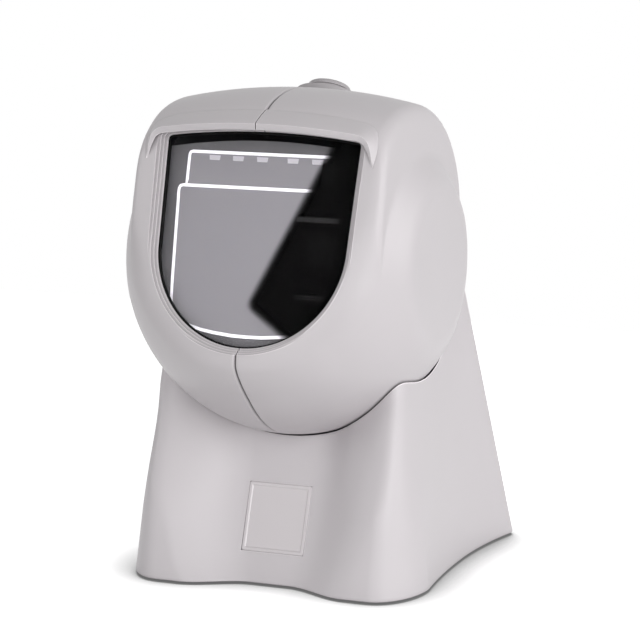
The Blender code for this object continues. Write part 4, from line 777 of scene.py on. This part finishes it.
def pedestal_ring(z, inset=0.0, steps=22):
    share = max(0.0, z / BASE_TOP)
    s = {name: mix(FOOT_LINE[name], TOP_LINE[name], share) for name in FOOT_LINE}
    for name in ("flat", "ridge_from"):
        s[name] = mix(FOOT_LINE[name], TOP_LINE[name], share ** FLANK_POWER)
    filled = min(1.0, max(0.0, z / HOLLOW_TOP)) if inset == BASE_WALL else 0.0
    mid = s["mid"] + inset
    ridge = min(mix(s["ridge"], s["mid"], filled) + inset, s["corner_y"] - 0.001)
    corner, waist, rear = s["corner"] - inset, s["waist"] - inset, s["rear"] - inset
    rear_y = s["rear_y"] - inset
    ridge_from = min(s["ridge_from"] + inset, corner - 0.0009)
    ridge_to = min(max(s["ridge_to"], ridge_from + 0.0003), corner - 0.0003)
    flat = min(s["flat"] + inset, ridge_from - 0.0003)
    half = [(x, mid) for x in (0.0, flat / 2)]
    for i in range(steps + 1):
        half.append((mix(flat, ridge_from, i / steps), mix(mid, ridge, ease(i / steps))))
    for i in range(steps + 1):
        turn = math.pi / 2 * i / steps
        half.append((mix(ridge_to, corner, math.sin(turn)), mix(s["corner_y"], ridge, math.cos(turn))))
    end = rear_y - REAR_ROUND
    for i in range(1, steps + 1):
        y = mix(s["corner_y"], end, (i / steps) ** FLANK_CROWD)
        reach, far = (s["corner_y"], corner) if y < s["waist_y"] else (end, rear)
        half.append((waist + (far - waist) * ((y - s["waist_y"]) / (reach - s["waist_y"])) ** 2, y))
    for i in range(1, REAR_STEPS + 1):
        turn = math.pi / 2 * i / REAR_STEPS
        half.append((rear - REAR_ROUND * (1 - math.cos(turn)), rear_y - REAR_ROUND * (1 - math.sin(turn))))
    half += [(x, rear_y) for x in spaced(rear - REAR_ROUND, 0, BACK_STEPS)[1:]]
    amount = ease((share - SOFT_FROM) / (SOFT_FULL - SOFT_FROM))
    half = soften(half, steps // 2, 2 * steps + steps // 2, amount)
    other = [(-x, y) for x, y in reversed(half[1:-1])]
    return [Vector((x, y, z)) for x, y in half + other]


print("pedestal ring has", len(pedestal_ring(0)), "points")

# %% [markdown]
# ### Pedestal casing
#
# The casing is a hollow moulding, open below. The cradle is the head's ball, grown by a clearance: close at the
# lip, so that only a thin line shows, and wider inside, where the glide pads carry the head. The plate's seat,
# the cable socket's opening and the hole for the clamp stud are cut last.

# %% Pedestal casing
CRADLE_GAP = 0.0012
LIP_GAP = 0.0006
LIP_DEPTH = 0.003
LABEL_UP = 0.0209
WALL_LEAN = math.atan((TOP_LINE["mid"] - FOOT_LINE["mid"]) / BASE_TOP)
LABEL = Matrix.Translation((0, FOOT_LINE["mid"] + LABEL_UP * math.tan(WALL_LEAN), LABEL_UP))
LABEL = LABEL @ Matrix.Rotation(-WALL_LEAN, 4, "X")
LABEL_HALF = Vector((0.0108, 0.01125))
SOCKET_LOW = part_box("cable_socket")[0]
SOCKET_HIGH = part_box("cable_socket")[1]
FOOT_ROLL = ((0, 0.00055), (0.0001, 0.0003), (0.0003, 0.0001), (0.0006, 0))
SIDES_FROM, SIDES_STEPS = 0.0022, 34
RELIEF_FROM, CUT_STEPS = 0.02, 7
SEAT_PLAY = 0.00005
STUD_HOLE, STUD_HOLE_TOP, STUD_HOLE_FOOT = 0.0043, -0.05, -0.065


def tilt_ball(name, grow, sides=128, bands=72):
    """The head's ball about the tilt axis, grown by a clearance."""
    rings = []
    for i in range(1, bands):
        x = -(BALL_HALF + grow) * math.cos(math.pi * i / bands)
        radius = (HEAD_RADIUS + grow) * math.sin(math.pi * i / bands)
        rings.append([around(x, radius, 2 * math.pi * k / sides) for k in range(sides)])
    return loft(name, rings)


def box_tool(name, low, high, place=Matrix.Identity(4)):
    rings = []
    for z in (low[2], high[2]):
        corners = ((low[0], low[1]), (high[0], low[1]), (high[0], high[1]), (low[0], high[1]))
        rings.append([place @ Vector((x, y, z)) for x, y in corners])
    return loft(name, rings)


levels = [(BASE_LIFT + up, inset) for up, inset in FOOT_ROLL]
levels += [(mix(SIDES_FROM, BASE_TOP, (i / SIDES_STEPS) ** 2), 0) for i in range(SIDES_STEPS + 1)]
pedestal = loft("pedestal_casing", [pedestal_ring(z, inset) for z, inset in levels])
shares = spaced(0, 1, CUT_STEPS)
hollow = loft("hollow", [pedestal_ring(mix(-0.0002, HOLLOW_TOP, t ** 2), BASE_WALL, 8) for t in shares])
cut(hollow, tilt_ball("bowl", CRADLE_GAP + BASE_WALL, 64, 36))
relief = loft("relief", [pedestal_ring(mix(RELIEF_FROM, BASE_TOP, t), LIP_DEPTH, 12) for t in shares])
cut(relief, tilt_ball("relief_ball", CRADLE_GAP, 96, 54), operation="INTERSECT")
socket_hole = box_tool(
    "socket_hole",
    (SOCKET_LOW.x - FIT, SOCKET_LOW.y, SOCKET_LOW.z - FIT),
    (SOCKET_HIGH.x + FIT, FOOT_LINE["rear_y"] + 0.002, SOCKET_HIGH.z + FIT),
)
wide, tall = LABEL_HALF.x + SEAT_PLAY, LABEL_HALF.y + SEAT_PLAY
label_seat = box_tool("label_seat", (-wide, -0.003, -tall), (wide, 0.0009, tall), LABEL)
stud_place = Matrix.Translation(TILT_AXIS) @ Matrix.Rotation(STUD_LEAN, 4, "X")
stud_hole = rod("stud_hole", stud_place, STUD_HOLE, STUD_HOLE_TOP, STUD_HOLE_FOOT)
cut(pedestal, tilt_ball("cradle", LIP_GAP), relief, hollow, socket_hole, label_seat, stud_hole)
settle(pedestal, "base", "pedestal_plastic", "base_shell")

# %% [markdown]
# ## Label plate
#
# A small glossy plate sits in a shallow seat in the middle of the front. It has a raised frame around a flat
# field, and it is left bare. Rounded-rectangle rings at a few heights make the frame's soft shoulders.


# %% Label plate
def plate_ring(inset, depth, corner=0.0007):
    """A rounded rectangle, at a depth behind the plate's seat face."""
    points = []
    wide, tall = LABEL_HALF.x - inset, LABEL_HALF.y - inset
    corner = max(corner - inset / 2, 0.0003)
    for k, (sx, sz) in enumerate(((1, 1), (-1, 1), (-1, -1), (1, -1))):
        for i in range(7):
            turn = math.pi / 2 * (k + i / 6)
            x = sx * (wide - corner) + corner * math.cos(turn)
            z = sz * (tall - corner) + corner * math.sin(turn)
            points.append(LABEL @ Vector((x, depth, z)))
    return points


FRAME_WIDE = 0.0014
FRAME_HIGH = -0.0004
plate_levels = [(0, 0.0006), (0, -0.00005), (0.0003, FRAME_HIGH)]
plate_levels += [(FRAME_WIDE - 0.0004, FRAME_HIGH), (FRAME_WIDE, -0.00005)]
label = loft("label_face", [plate_ring(inset, depth) for inset, depth in plate_levels])
settle(label, "base", "label_film", "label_plate", crease=20)

# %% [markdown]
# ## Trigger button
#
# A round button stands on the crown, in a collar that closes the hole where the two casing halves meet.
# Its cap is a little wider than the shaft below, so it has a small skirt that stops short of the collar.
# Both are lathe work, so they are turned from a profile. The rounded edges are points of the profile.

# %% Trigger button
COLLAR_TOP = COLLAR_BASE + 0.0026
COLLAR_BORE = 0.0070
BUTTON_RADIUS = 0.00665
CAP_RADIUS = 0.0071
CAP_SKIRT = COLLAR_TOP + 0.0016
BUTTON_TOP = CAP_SKIRT + 0.0018
COLLAR_FOOT = CROWN_RADIUS - 0.0042
BUTTON_FOOT = COLLAR_FOOT - 0.0015
BUTTON_RIM = BUTTON_RADIUS + 0.0009
RIM_TOP = COLLAR_FOOT - FIT
STEM_RADIUS = 0.0018
STEM_FOOT = BUTTON_FOOT - 0.0042
COLLAR_SKIRT = 0.0078
COLLAR_ROLL = 0.0006
CAP_ROLL = 0.0013


def rounded(radius, top, roll, steps=6):
    """Profile points around an outer edge, from the top face to the side."""
    made = []
    for i in range(steps + 1):
        turn = math.pi / 2 * i / steps
        made.append((radius - roll * (1 - math.sin(turn)), top - roll * (1 - math.cos(turn))))
    return made


def turned_ring(name, place, profile, steps=72):
    """A turned piece with a bore: a closed profile that stays off the axis."""
    rings = [[place @ Vector((r * c, r * s, h)) for r, h in profile] for c, s in circle(steps)]
    return loft(name, rings, endless=True)


collar_profile = [(COLLAR_BORE, COLLAR_TOP - 0.0001), (COLLAR_BORE + 0.0001, COLLAR_TOP)]
collar_profile += rounded(COLLAR_FLANGE, COLLAR_TOP, COLLAR_ROLL)
collar_profile += [(COLLAR_FLANGE, COLLAR_BASE), (COLLAR_SKIRT, COLLAR_BASE)]
collar_profile += [(COLLAR_SKIRT, COLLAR_FOOT), (COLLAR_BORE, COLLAR_FOOT)]
collar = turned_ring("trigger_collar", CROWN, collar_profile)
settle(collar, "head", "collar_plastic", "button_collar")

cap_profile = [(0, BUTTON_TOP), (0.002, BUTTON_TOP - 0.00003), (0.0040, BUTTON_TOP - 0.00012)]
cap_profile += rounded(CAP_RADIUS, BUTTON_TOP - 0.0002, CAP_ROLL)
cap_profile += [(CAP_RADIUS, CAP_SKIRT), (BUTTON_RADIUS, CAP_SKIRT)]
cap_profile += [(BUTTON_RADIUS, RIM_TOP), (BUTTON_RIM, RIM_TOP), (BUTTON_RIM, BUTTON_FOOT)]
cap_profile += [(STEM_RADIUS, BUTTON_FOOT), (STEM_RADIUS, STEM_FOOT), (0, STEM_FOOT)]
cap = turned("trigger_cap", CROWN, cap_profile)
settle(cap, "button", "button_plastic", "trigger_button")

# %% [markdown]
# ### Return spring
#
# A coil of thin steel wire between the bridge and the button's rim pushes the button back out. It is a small
# circle swept along a helix, and it rides on the button.

# %% Return spring
SPRING_ROOM = 0.0045
SPRING_RADIUS = 0.0038
SPRING_WIRE = 0.0003
SPRING_TURNS = 3.5
SPRING_STEPS, WIRE_SIDES = 84, 10
SPRING_PLAY = 0.0003
coil_low = BUTTON_FOOT - SPRING_ROOM + SPRING_PLAY + SPRING_WIRE
coil_high = BUTTON_FOOT - SPRING_PLAY - SPRING_WIRE
rings = []
for i in range(SPRING_STEPS + 1):
    turn = 2 * math.pi * SPRING_TURNS * i / SPRING_STEPS
    height = mix(coil_low, coil_high, i / SPRING_STEPS)
    ring = []
    for c, s in circle(WIRE_SIDES):
        reach, up = SPRING_RADIUS + SPRING_WIRE * c, height + SPRING_WIRE * s
        ring.append(CROWN @ Vector((reach * math.cos(turn), reach * math.sin(turn), up)))
    rings.append(ring)
coil = settle(loft("return_spring", rings), "button", "spring_steel", "button_spring")
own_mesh(coil)

# %% [markdown]
# ### Inner lead
#
# One thin round cable joins the board in the pedestal to the board in the head. It runs through the hollow
# clamp stud and has a loose bend above it, so that the head can nod. It is a circle swept along a curve in the
# middle plane.

# %% Inner lead
LEAD_RADIUS = 0.0013
LEAD_COURSE = [
    (0.0269, 0.0163), (0.0269, 0.0189), (0.0269, 0.0215), (0.0209, 0.0310), (0.0169, 0.0389),
    (0.0149, 0.0437), (0.0110, 0.0530), (0.0072, 0.0622), (0.0057, 0.0658), (-0.0070, 0.0706),
    (-0.0062, 0.0731), (-0.0055, 0.0756),
]
LEAD_STEPS, LEAD_SIDES = 88, 12
rings = []
for i in range(LEAD_STEPS + 1):
    share = i / LEAD_STEPS
    y, z = follow(LEAD_COURSE, share)
    before = follow(LEAD_COURSE, max(0.0, share - NEARBY))
    after = follow(LEAD_COURSE, min(1.0, share + NEARBY))
    along = (Vector(after) - Vector(before)).normalized()
    ring = [(LEAD_RADIUS * c, LEAD_RADIUS * s) for c, s in circle(LEAD_SIDES)]
    rings.append([Vector((x, y - along.y * out, z + along.x * out)) for x, out in ring])
lead = loft("inner_lead", rings)
lead.data.shade_smooth()
lead["finish"] = "lead_jacket"
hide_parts("harness")
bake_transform(lead)
print("inner lead has", len(rings), "rings")

# %% [markdown]
# ## Finishes: shared effects
#
# Moulded plastic is never one flat colour. The tool leaves a fine satin grain, the colour drifts a little
# from place to place, and hands polish it in patches. The outer plastics also get painted shade in their inner
# corners and a painted highlight along their edges, both from ambient occlusion. Steel shows fine drawn lines
# instead. Each effect is a node group, built once, that gives a colour, a roughness and a height. The materials
# then set its values.


# %% Node helpers
def feed(tree, socket, value):
    """Joins another node's output to the socket, or sets a plain value on it."""
    if isinstance(value, bpy.types.NodeSocket):
        tree.links.new(value, socket)
    else:
        socket.default_value = value


def add(tree, kind, **settings):
    """A node with some of its properties and inputs set. A space in an input's name is written as _."""
    node = tree.nodes.new(kind)
    for label, value in settings.items():
        if label.replace("_", " ") in node.inputs:
            feed(tree, node.inputs[label.replace("_", " ")], value)
        else:
            setattr(node, label, value)
    return node


def reckon(tree, operation, *values, **settings):
    """The result of a math node on other nodes' outputs and plain numbers."""
    node = add(tree, "ShaderNodeMath", operation=operation, **settings)
    for socket, value in zip(node.inputs, values):
        feed(tree, socket, value)
    return node.outputs[0]


def scaled(tree, colour, share):
    return add(tree, "ShaderNodeVectorMath", operation="SCALE", Vector=colour, Scale=share).outputs[0]


def new_group(name, inputs, outputs):
    """An empty node group, what is given to it, and what it has to make."""
    group = bpy.data.node_groups.new(name, "ShaderNodeTree")
    for way, sockets in (("INPUT", inputs), ("OUTPUT", outputs)):
        for label, kind in sockets.items():
            group.interface.new_socket(label, in_out=way, socket_type=f"NodeSocket{kind}")
    return group, group.nodes.new("NodeGroupInput").outputs, group.nodes.new("NodeGroupOutput").inputs


# %% Effect groups
# Painted shade in inner corners and a painted highlight on edges: how far each reaches and how strong it is.
CORNER_SHADE_REACH = 0.0014
PAINTED_CORNER_SHADE = 0.45
EDGE_HIGHLIGHT_REACH = 0.0003
PAINTED_EDGE_HIGHLIGHT = 0.8
DRIFT_SCALE, DRIFT_DETAIL = 38.0, 4.0
GRAIN_TAKES = dict(Colour="Color", Roughness="Float", Drift="Float", Grain="Float", Polish="Float")
GRAIN_MAKES = dict(Colour="Color", Roughness="Float", Height="Float")


def painted_shade_and_highlight(tree, colour):
    """The colour, with painted shade in inner corners and a painted highlight on edges."""
    corner = add(tree, "ShaderNodeAmbientOcclusion", samples=8, Distance=CORNER_SHADE_REACH)
    edge = add(tree, "ShaderNodeAmbientOcclusion", samples=8, inside=True, only_local=True, Distance=EDGE_HIGHLIGHT_REACH)
    darker = reckon(tree, "MULTIPLY_ADD", corner.outputs["AO"], PAINTED_CORNER_SHADE, 1 - PAINTED_CORNER_SHADE + PAINTED_EDGE_HIGHLIGHT)
    return scaled(tree, colour, reckon(tree, "MULTIPLY_ADD", edge.outputs["AO"], -PAINTED_EDGE_HIGHLIGHT, darker))


def grain_group(name, stretch=(1, 1, 1), detail=3.0, edges=False):
    """Fine grain, a slow drift of the colour, and patches where handling has polished the surface."""
    group, given, made = new_group(name, GRAIN_TAKES, GRAIN_MAKES)
    where = add(group, "ShaderNodeTexCoord").outputs["Object"]
    pulled = add(group, "ShaderNodeMapping", Vector=where, Scale=stretch).outputs[0]
    fine = add(group, "ShaderNodeTexNoise", Vector=pulled, Scale=given["Grain"], Detail=detail)
    slow = add(group, "ShaderNodeTexNoise", Vector=where, Scale=DRIFT_SCALE, Detail=DRIFT_DETAIL)
    patch = reckon(group, "SUBTRACT", slow.outputs["Fac"], 0.5)
    colour = scaled(group, given["Colour"], reckon(group, "MULTIPLY_ADD", patch, given["Drift"], 1.0))
    # With edges, the colour gets painted shade in inner corners and a painted highlight on edges.
    feed(group, made["Colour"], painted_shade_and_highlight(group, colour) if edges else colour)
    rough = reckon(group, "MULTIPLY_ADD", patch, given["Polish"], given["Roughness"])
    feed(group, made["Roughness"], rough)
    feed(group, made["Height"], fine.outputs["Fac"])
    return group


moulded_grain = grain_group("moulded grain")
# This group also paints shade into inner corners and a highlight along edges.
moulded_grain_painted_shade = grain_group("moulded grain, painted shade", edges=True)
drawn_lines = grain_group("drawn lines", stretch=(1, 1, 0.04), detail=2.0)
fibre_nap = grain_group("fibre nap", stretch=(1, 0.4, 1), detail=6.0)
print("effect groups:", [g.name for g in bpy.data.node_groups])

# %% [markdown]
# ## Finishes: materials
#
# One function wires a group into a Principled BSDF, with a Bump node for the height. Values that don't change
# over the surface, such as metalness, are set on the shader itself, so that an export keeps them.

# %% Materials
BUMP_HEIGHT = 0.0002
GREY = (0.57, 0.54, 0.557)
finishes = {}


def finish(slot, group, colour, roughness, drift=0.06, grain=1500.0, polish=0.12, bump=0.05, **more):
    made = bpy.data.materials.new(slot.replace("_", " "))
    made.use_nodes = True
    tree = made.node_tree
    look = add(
        tree, "ShaderNodeGroup", node_tree=group, Colour=(*colour, 1), Roughness=roughness, Drift=drift,
        Grain=grain, Polish=polish,
    ).outputs
    relief = add(tree, "ShaderNodeBump", Strength=bump, Distance=BUMP_HEIGHT, Height=look["Height"])
    more.update(Base_Color=look["Colour"], Roughness=look["Roughness"], Normal=relief.outputs["Normal"])
    for label, value in more.items():
        feed(tree, tree.nodes["Principled BSDF"].inputs[label.replace("_", " ")], value)
    finishes[slot] = made
    return made


# The four outer plastics carry painted shade in their corners and a painted highlight on their edges.
finish("pedestal_plastic", moulded_grain_painted_shade, GREY, 0.42)
finish("head_plastic", moulded_grain_painted_shade, GREY, 0.40)
finish("collar_plastic", moulded_grain_painted_shade, (0.40, 0.38, 0.39), 0.42)
finish("button_plastic", moulded_grain_painted_shade, (0.39, 0.37, 0.38), 0.45, bump=0.1)
finish("floor_plastic", moulded_grain, (0.05, 0.05, 0.054), 0.6, grain=900, bump=0.2)
DULL = dict(grain=1100, bump=0.1, Specular_IOR_Level=0.2)
finish("black_plastic", moulded_grain, (0.005, 0.005, 0.0055), 0.5, **DULL)
finish("bridge_plastic", moulded_grain, (0.10, 0.10, 0.11), 0.5)
finish("shoe_plastic", moulded_grain, (0.75, 0.74, 0.70), 0.35)
finish("connector_plastic", moulded_grain, (0.02, 0.02, 0.022), 0.4)
finish("label_film", moulded_grain, (0.63, 0.595, 0.61), 0.16, drift=0.03, polish=0.05, bump=0.01)
finish("lamp_resin", moulded_grain, (0.75, 0.70, 0.62), 0.12, bump=0.01)
SOOTY = dict(grain=800, bump=0.2, Specular_IOR_Level=0.1)
finish("gasket_rubber", moulded_grain, (0.004, 0.004, 0.004), 0.55, **SOOTY)
finish("foot_rubber", moulded_grain, (0.022, 0.022, 0.022), 0.75, grain=700, bump=0.4)
finish("lead_jacket", moulded_grain, (0.02, 0.02, 0.02), 0.5, grain=900)
finish("pad_felt", fibre_nap, (0.10, 0.10, 0.105), 0.95, drift=0.4, grain=2500, bump=0.8)
finish("board_laminate", moulded_grain, (0.015, 0.14, 0.06), 0.35, drift=0.25, grain=2200)
finish("screw_steel", drawn_lines, (0.60, 0.60, 0.62), 0.3, grain=3000, Metallic=1.0)
finish("clamp_steel", drawn_lines, (0.55, 0.55, 0.57), 0.35, grain=3000, Metallic=1.0)
finish("spring_steel", drawn_lines, (0.62, 0.62, 0.64), 0.25, grain=4000, Metallic=1.0)
finish("ballast_steel", drawn_lines, (0.33, 0.33, 0.34), 0.5, grain=1200, Metallic=1.0)
print(len(finishes), "opaque finishes")

# %% [markdown]
# ## Finishes: glass and screens
#
# The pane is a smoked acrylic sheet, shown nearly clear: the sheets behind it, with the painted shade film,
# carry the dark tones, and its low index keeps the lamps' reflections faint, as in the picture. Transmission
# and index are plain numbers on the shader. The screens are matt card in four greys, and the ribs are close to
# black, which is partly painted shade.

# %% Glass and screens
CLEAR = dict(drift=0.02, polish=0.01, bump=0.0, Transmission_Weight=1.0)
finish("smoked_pane", moulded_grain, (0.92, 0.91, 0.93), 0.02, IOR=1.07, **CLEAR)
finish("lens_glass", moulded_grain, (0.85, 0.87, 0.95), 0.02, IOR=1.52, **CLEAR)
MATT = dict(bump=0.0, Specular_IOR_Level=0.0)
# The ribs' near black is partly painted shade.
for label, shade in (("dark", 0.0035), ("light", 0.018)):
    finish(f"rib_{label}", moulded_grain, (shade, shade, shade), 0.6, **MATT)
for label, shade in (("dark", 0.085), ("grey", 0.172), ("pale", 0.40), ("white", 0.95)):
    finish(f"screen_{label}", moulded_grain, (shade, shade * 0.98, shade * 1.02), 0.5, drift=0.03, bump=0.01)
print(len(finishes), "finishes with glass and screens")

# %% [markdown]
# ### Painted shade film
#
# The painted shade on the window's right ends in two straight, soft edges. A node group makes the mask for
# one such edge: it measures how far a point lies across the edge, and turns that softly from 0 to 1. Two masks,
# multiplied, say where the film is black and where it is clear.

# %% Shade film
# Where the painted shade's two soft edges lie, and how soft they are.
PAINTED_SHADE_EDGES = (((0.0222, 0.0304), (0.0037, -0.0123)), ((0.0011, -0.0212), (0.0128, -0.0292)))
PAINTED_SHADE_SOFT = 0.0022


def soft_edge_group():
    takes = dict(Towards="Vector", From="Float", To="Float")
    group, given, made = new_group("soft edge", takes, dict(Mask="Float"))
    where = add(group, "ShaderNodeTexCoord").outputs["Object"]
    across = add(group, "ShaderNodeVectorMath", operation="DOT_PRODUCT")
    feed(group, across.inputs[0], where)
    feed(group, across.inputs[1], given["Towards"])
    ramp = add(
        group, "ShaderNodeMapRange", interpolation_type="SMOOTHSTEP", Value=across.outputs["Value"],
        From_Min=given["From"], From_Max=given["To"],
    )
    feed(group, made["Mask"], ramp.outputs["Result"])
    return group


soft_edge = soft_edge_group()
# The film is black, fading to clear past its soft edges: painted shade.
film = finish("painted_shade_film", moulded_grain, (0.002, 0.002, 0.002), 0.6, **MATT).node_tree
masks = []
for start, end in PAINTED_SHADE_EDGES:
    along = (Vector(end) - Vector(start)).normalized()
    towards = OPTICS.to_3x3() @ Vector((-along.y, 0, along.x))
    middle = towards.dot(in_window(start[0], FRONT["film"], start[1]))
    mask = add(
        film, "ShaderNodeGroup", node_tree=soft_edge, Towards=towards, From=middle - PAINTED_SHADE_SOFT,
        To=middle + PAINTED_SHADE_SOFT,
    )
    masks.append(mask.outputs["Mask"])
feed(film, film.nodes["Principled BSDF"].inputs["Alpha"], reckon(film, "MULTIPLY", *masks))
print("painted shade film has", len(masks), "soft edges")

# %% [markdown]
# ### Dressing
#
# Each CAD node takes the finish of its slot in the record, and each piece made here the one it was given.

# %% Dress every piece
slots = {entry["node"]: entry["material_slot"] for entry in frame["record"]["subparts"]}
for name, node in frame["nodes"].items():
    node.data.materials.clear()
    node.data.materials.append(finishes[slots[name]])
for piece in list(bpy.context.scene.objects):
    if piece.type == "MESH" and "finish" in piece:
        piece.data.materials.clear()
        piece.data.materials.append(finishes[piece["finish"]])
print("dressed", len(slots), "CAD nodes")

# %% [markdown]
# ## Studio
#
# The scanner stands on a sheet of white paper in a white surround. To the camera both are plain white, so the
# paper's end doesn't show. Close to the pedestal an occlusion mask darkens the paper's colour and its glow:
# a painted contact shadow, on top of the shadows the lamps cast.

# %% Floor and surround
FLOOR_SIZE = 0.45
FLOOR_GLOW = 0.75
# The painted contact shadow: how far the occlusion reaches, its ramp, and the darkest share it leaves.
PAINTED_SHADOW_REACH = 0.022
PAINTED_SHADOW_FROM = 0.4
PAINTED_SHADOW_TO = 0.95
PAINTED_SHADOW_LEAST = 0.16
PAPER_WHITE = 0.9
SKY_LIGHT = 0.16
WHITE = (1, 1, 1, 1)


def background_rays(tree):
    """1 for rays that show the background: from the camera, in reflections and through glass."""
    seen = add(tree, "ShaderNodeLightPath").outputs
    total = seen["Is Camera Ray"]
    for label in ("Is Glossy Ray", "Is Transmission Ray"):
        total = reckon(tree, "ADD", total, seen[label], use_clamp=True)
    return total


corners = [(x * FLOOR_SIZE, y * FLOOR_SIZE, 0) for x, y in ((-1, -1), (1, -1), (1, 1), (-1, 1))]
floor = add_mesh("floor", corners, [(0, 1, 2, 3)])
paper = bpy.data.materials.new("floor paper")
paper.use_nodes = True
tree = paper.node_tree
# Painted contact shadow: occlusion near the pedestal darkens the paper's colour and its glow.
near = add(tree, "ShaderNodeAmbientOcclusion", samples=16, Distance=PAINTED_SHADOW_REACH).outputs["AO"]
painted_contact_shadow = add(
    tree, "ShaderNodeMapRange", Value=near, From_Min=PAINTED_SHADOW_FROM, From_Max=PAINTED_SHADOW_TO, To_Min=PAINTED_SHADOW_LEAST,
).outputs["Result"]
shader = tree.nodes["Principled BSDF"]
feed(tree, shader.inputs["Roughness"], 1.0)
feed(tree, shader.inputs["Specular IOR Level"], 0.0)
feed(tree, shader.inputs["Base Color"], reckon(tree, "MULTIPLY", painted_contact_shadow, PAPER_WHITE))
shown = reckon(tree, "MULTIPLY", background_rays(tree), FLOOR_GLOW)
glow = add(tree, "ShaderNodeEmission", Strength=reckon(tree, "MULTIPLY", painted_contact_shadow, shown))
both = add(tree, "ShaderNodeAddShader")
feed(tree, both.inputs[0], shader.outputs[0])
feed(tree, both.inputs[1], glow.outputs[0])
feed(tree, tree.nodes["Material Output"].inputs["Surface"], both.outputs[0])
floor.data.materials.append(paper)

world = bpy.data.worlds.new("surround")
bpy.context.scene.world = world
world.use_nodes = True
tree = world.node_tree
sky = tree.nodes["Background"]
feed(tree, sky.inputs["Color"], WHITE)
feed(tree, sky.inputs["Strength"], SKY_LIGHT)
white = add(tree, "ShaderNodeBackground", Color=WHITE, Strength=1.0)
blend = add(tree, "ShaderNodeMixShader", Fac=background_rays(tree))
feed(tree, blend.inputs[1], sky.outputs[0])
feed(tree, blend.inputs[2], white.outputs[0])
feed(tree, tree.nodes["World Output"].inputs["Surface"], blend.outputs[0])
print("floor", 2 * FLOOR_SIZE, "m wide, surround light", SKY_LIGHT)

# %% [markdown]
# ### Lamps
#
# Six large soft boxes: strong ones from the right, weaker ones from the left, the front and above, and a low
# one behind. Large lamps give the wide, soft shading of moulded plastic. The one behind is kept out of
# reflections, where it would draw a streak on the shoulder.


# %% Lamps
def lamp(name, place, size, power, target=(0, 0, 0.08)):
    light = bpy.data.lights.new(name, "AREA")
    light.shape = "RECTANGLE"
    light.size, light.size_y = size
    light.energy = power
    made = bpy.data.objects.new(name, light)
    made.location = place
    made.rotation_euler = (Vector(target) - Vector(place)).to_track_quat("-Z", "Y").to_euler()
    bpy.context.scene.collection.objects.link(made)
    return made


lamp("right box", (0.9, -0.7, 0.4), (0.7, 0.7), 7.0)
lamp("side box", (1.1, 0.15, 0.4), (0.7, 0.7), 4.3)
lamp("left box", (-0.9, -0.55, 0.4), (0.7, 0.7), 2.0)
lamp("front box", (0.15, -1.15, 0.25), (0.7, 0.5), 2.9)
lamp("rear box", (-0.4, 1.2, 0.14), (0.7, 0.25), 5).visible_glossy = False
lamp("top box", (0, -0.15, 1.1), (0.8, 0.8), 1.2)
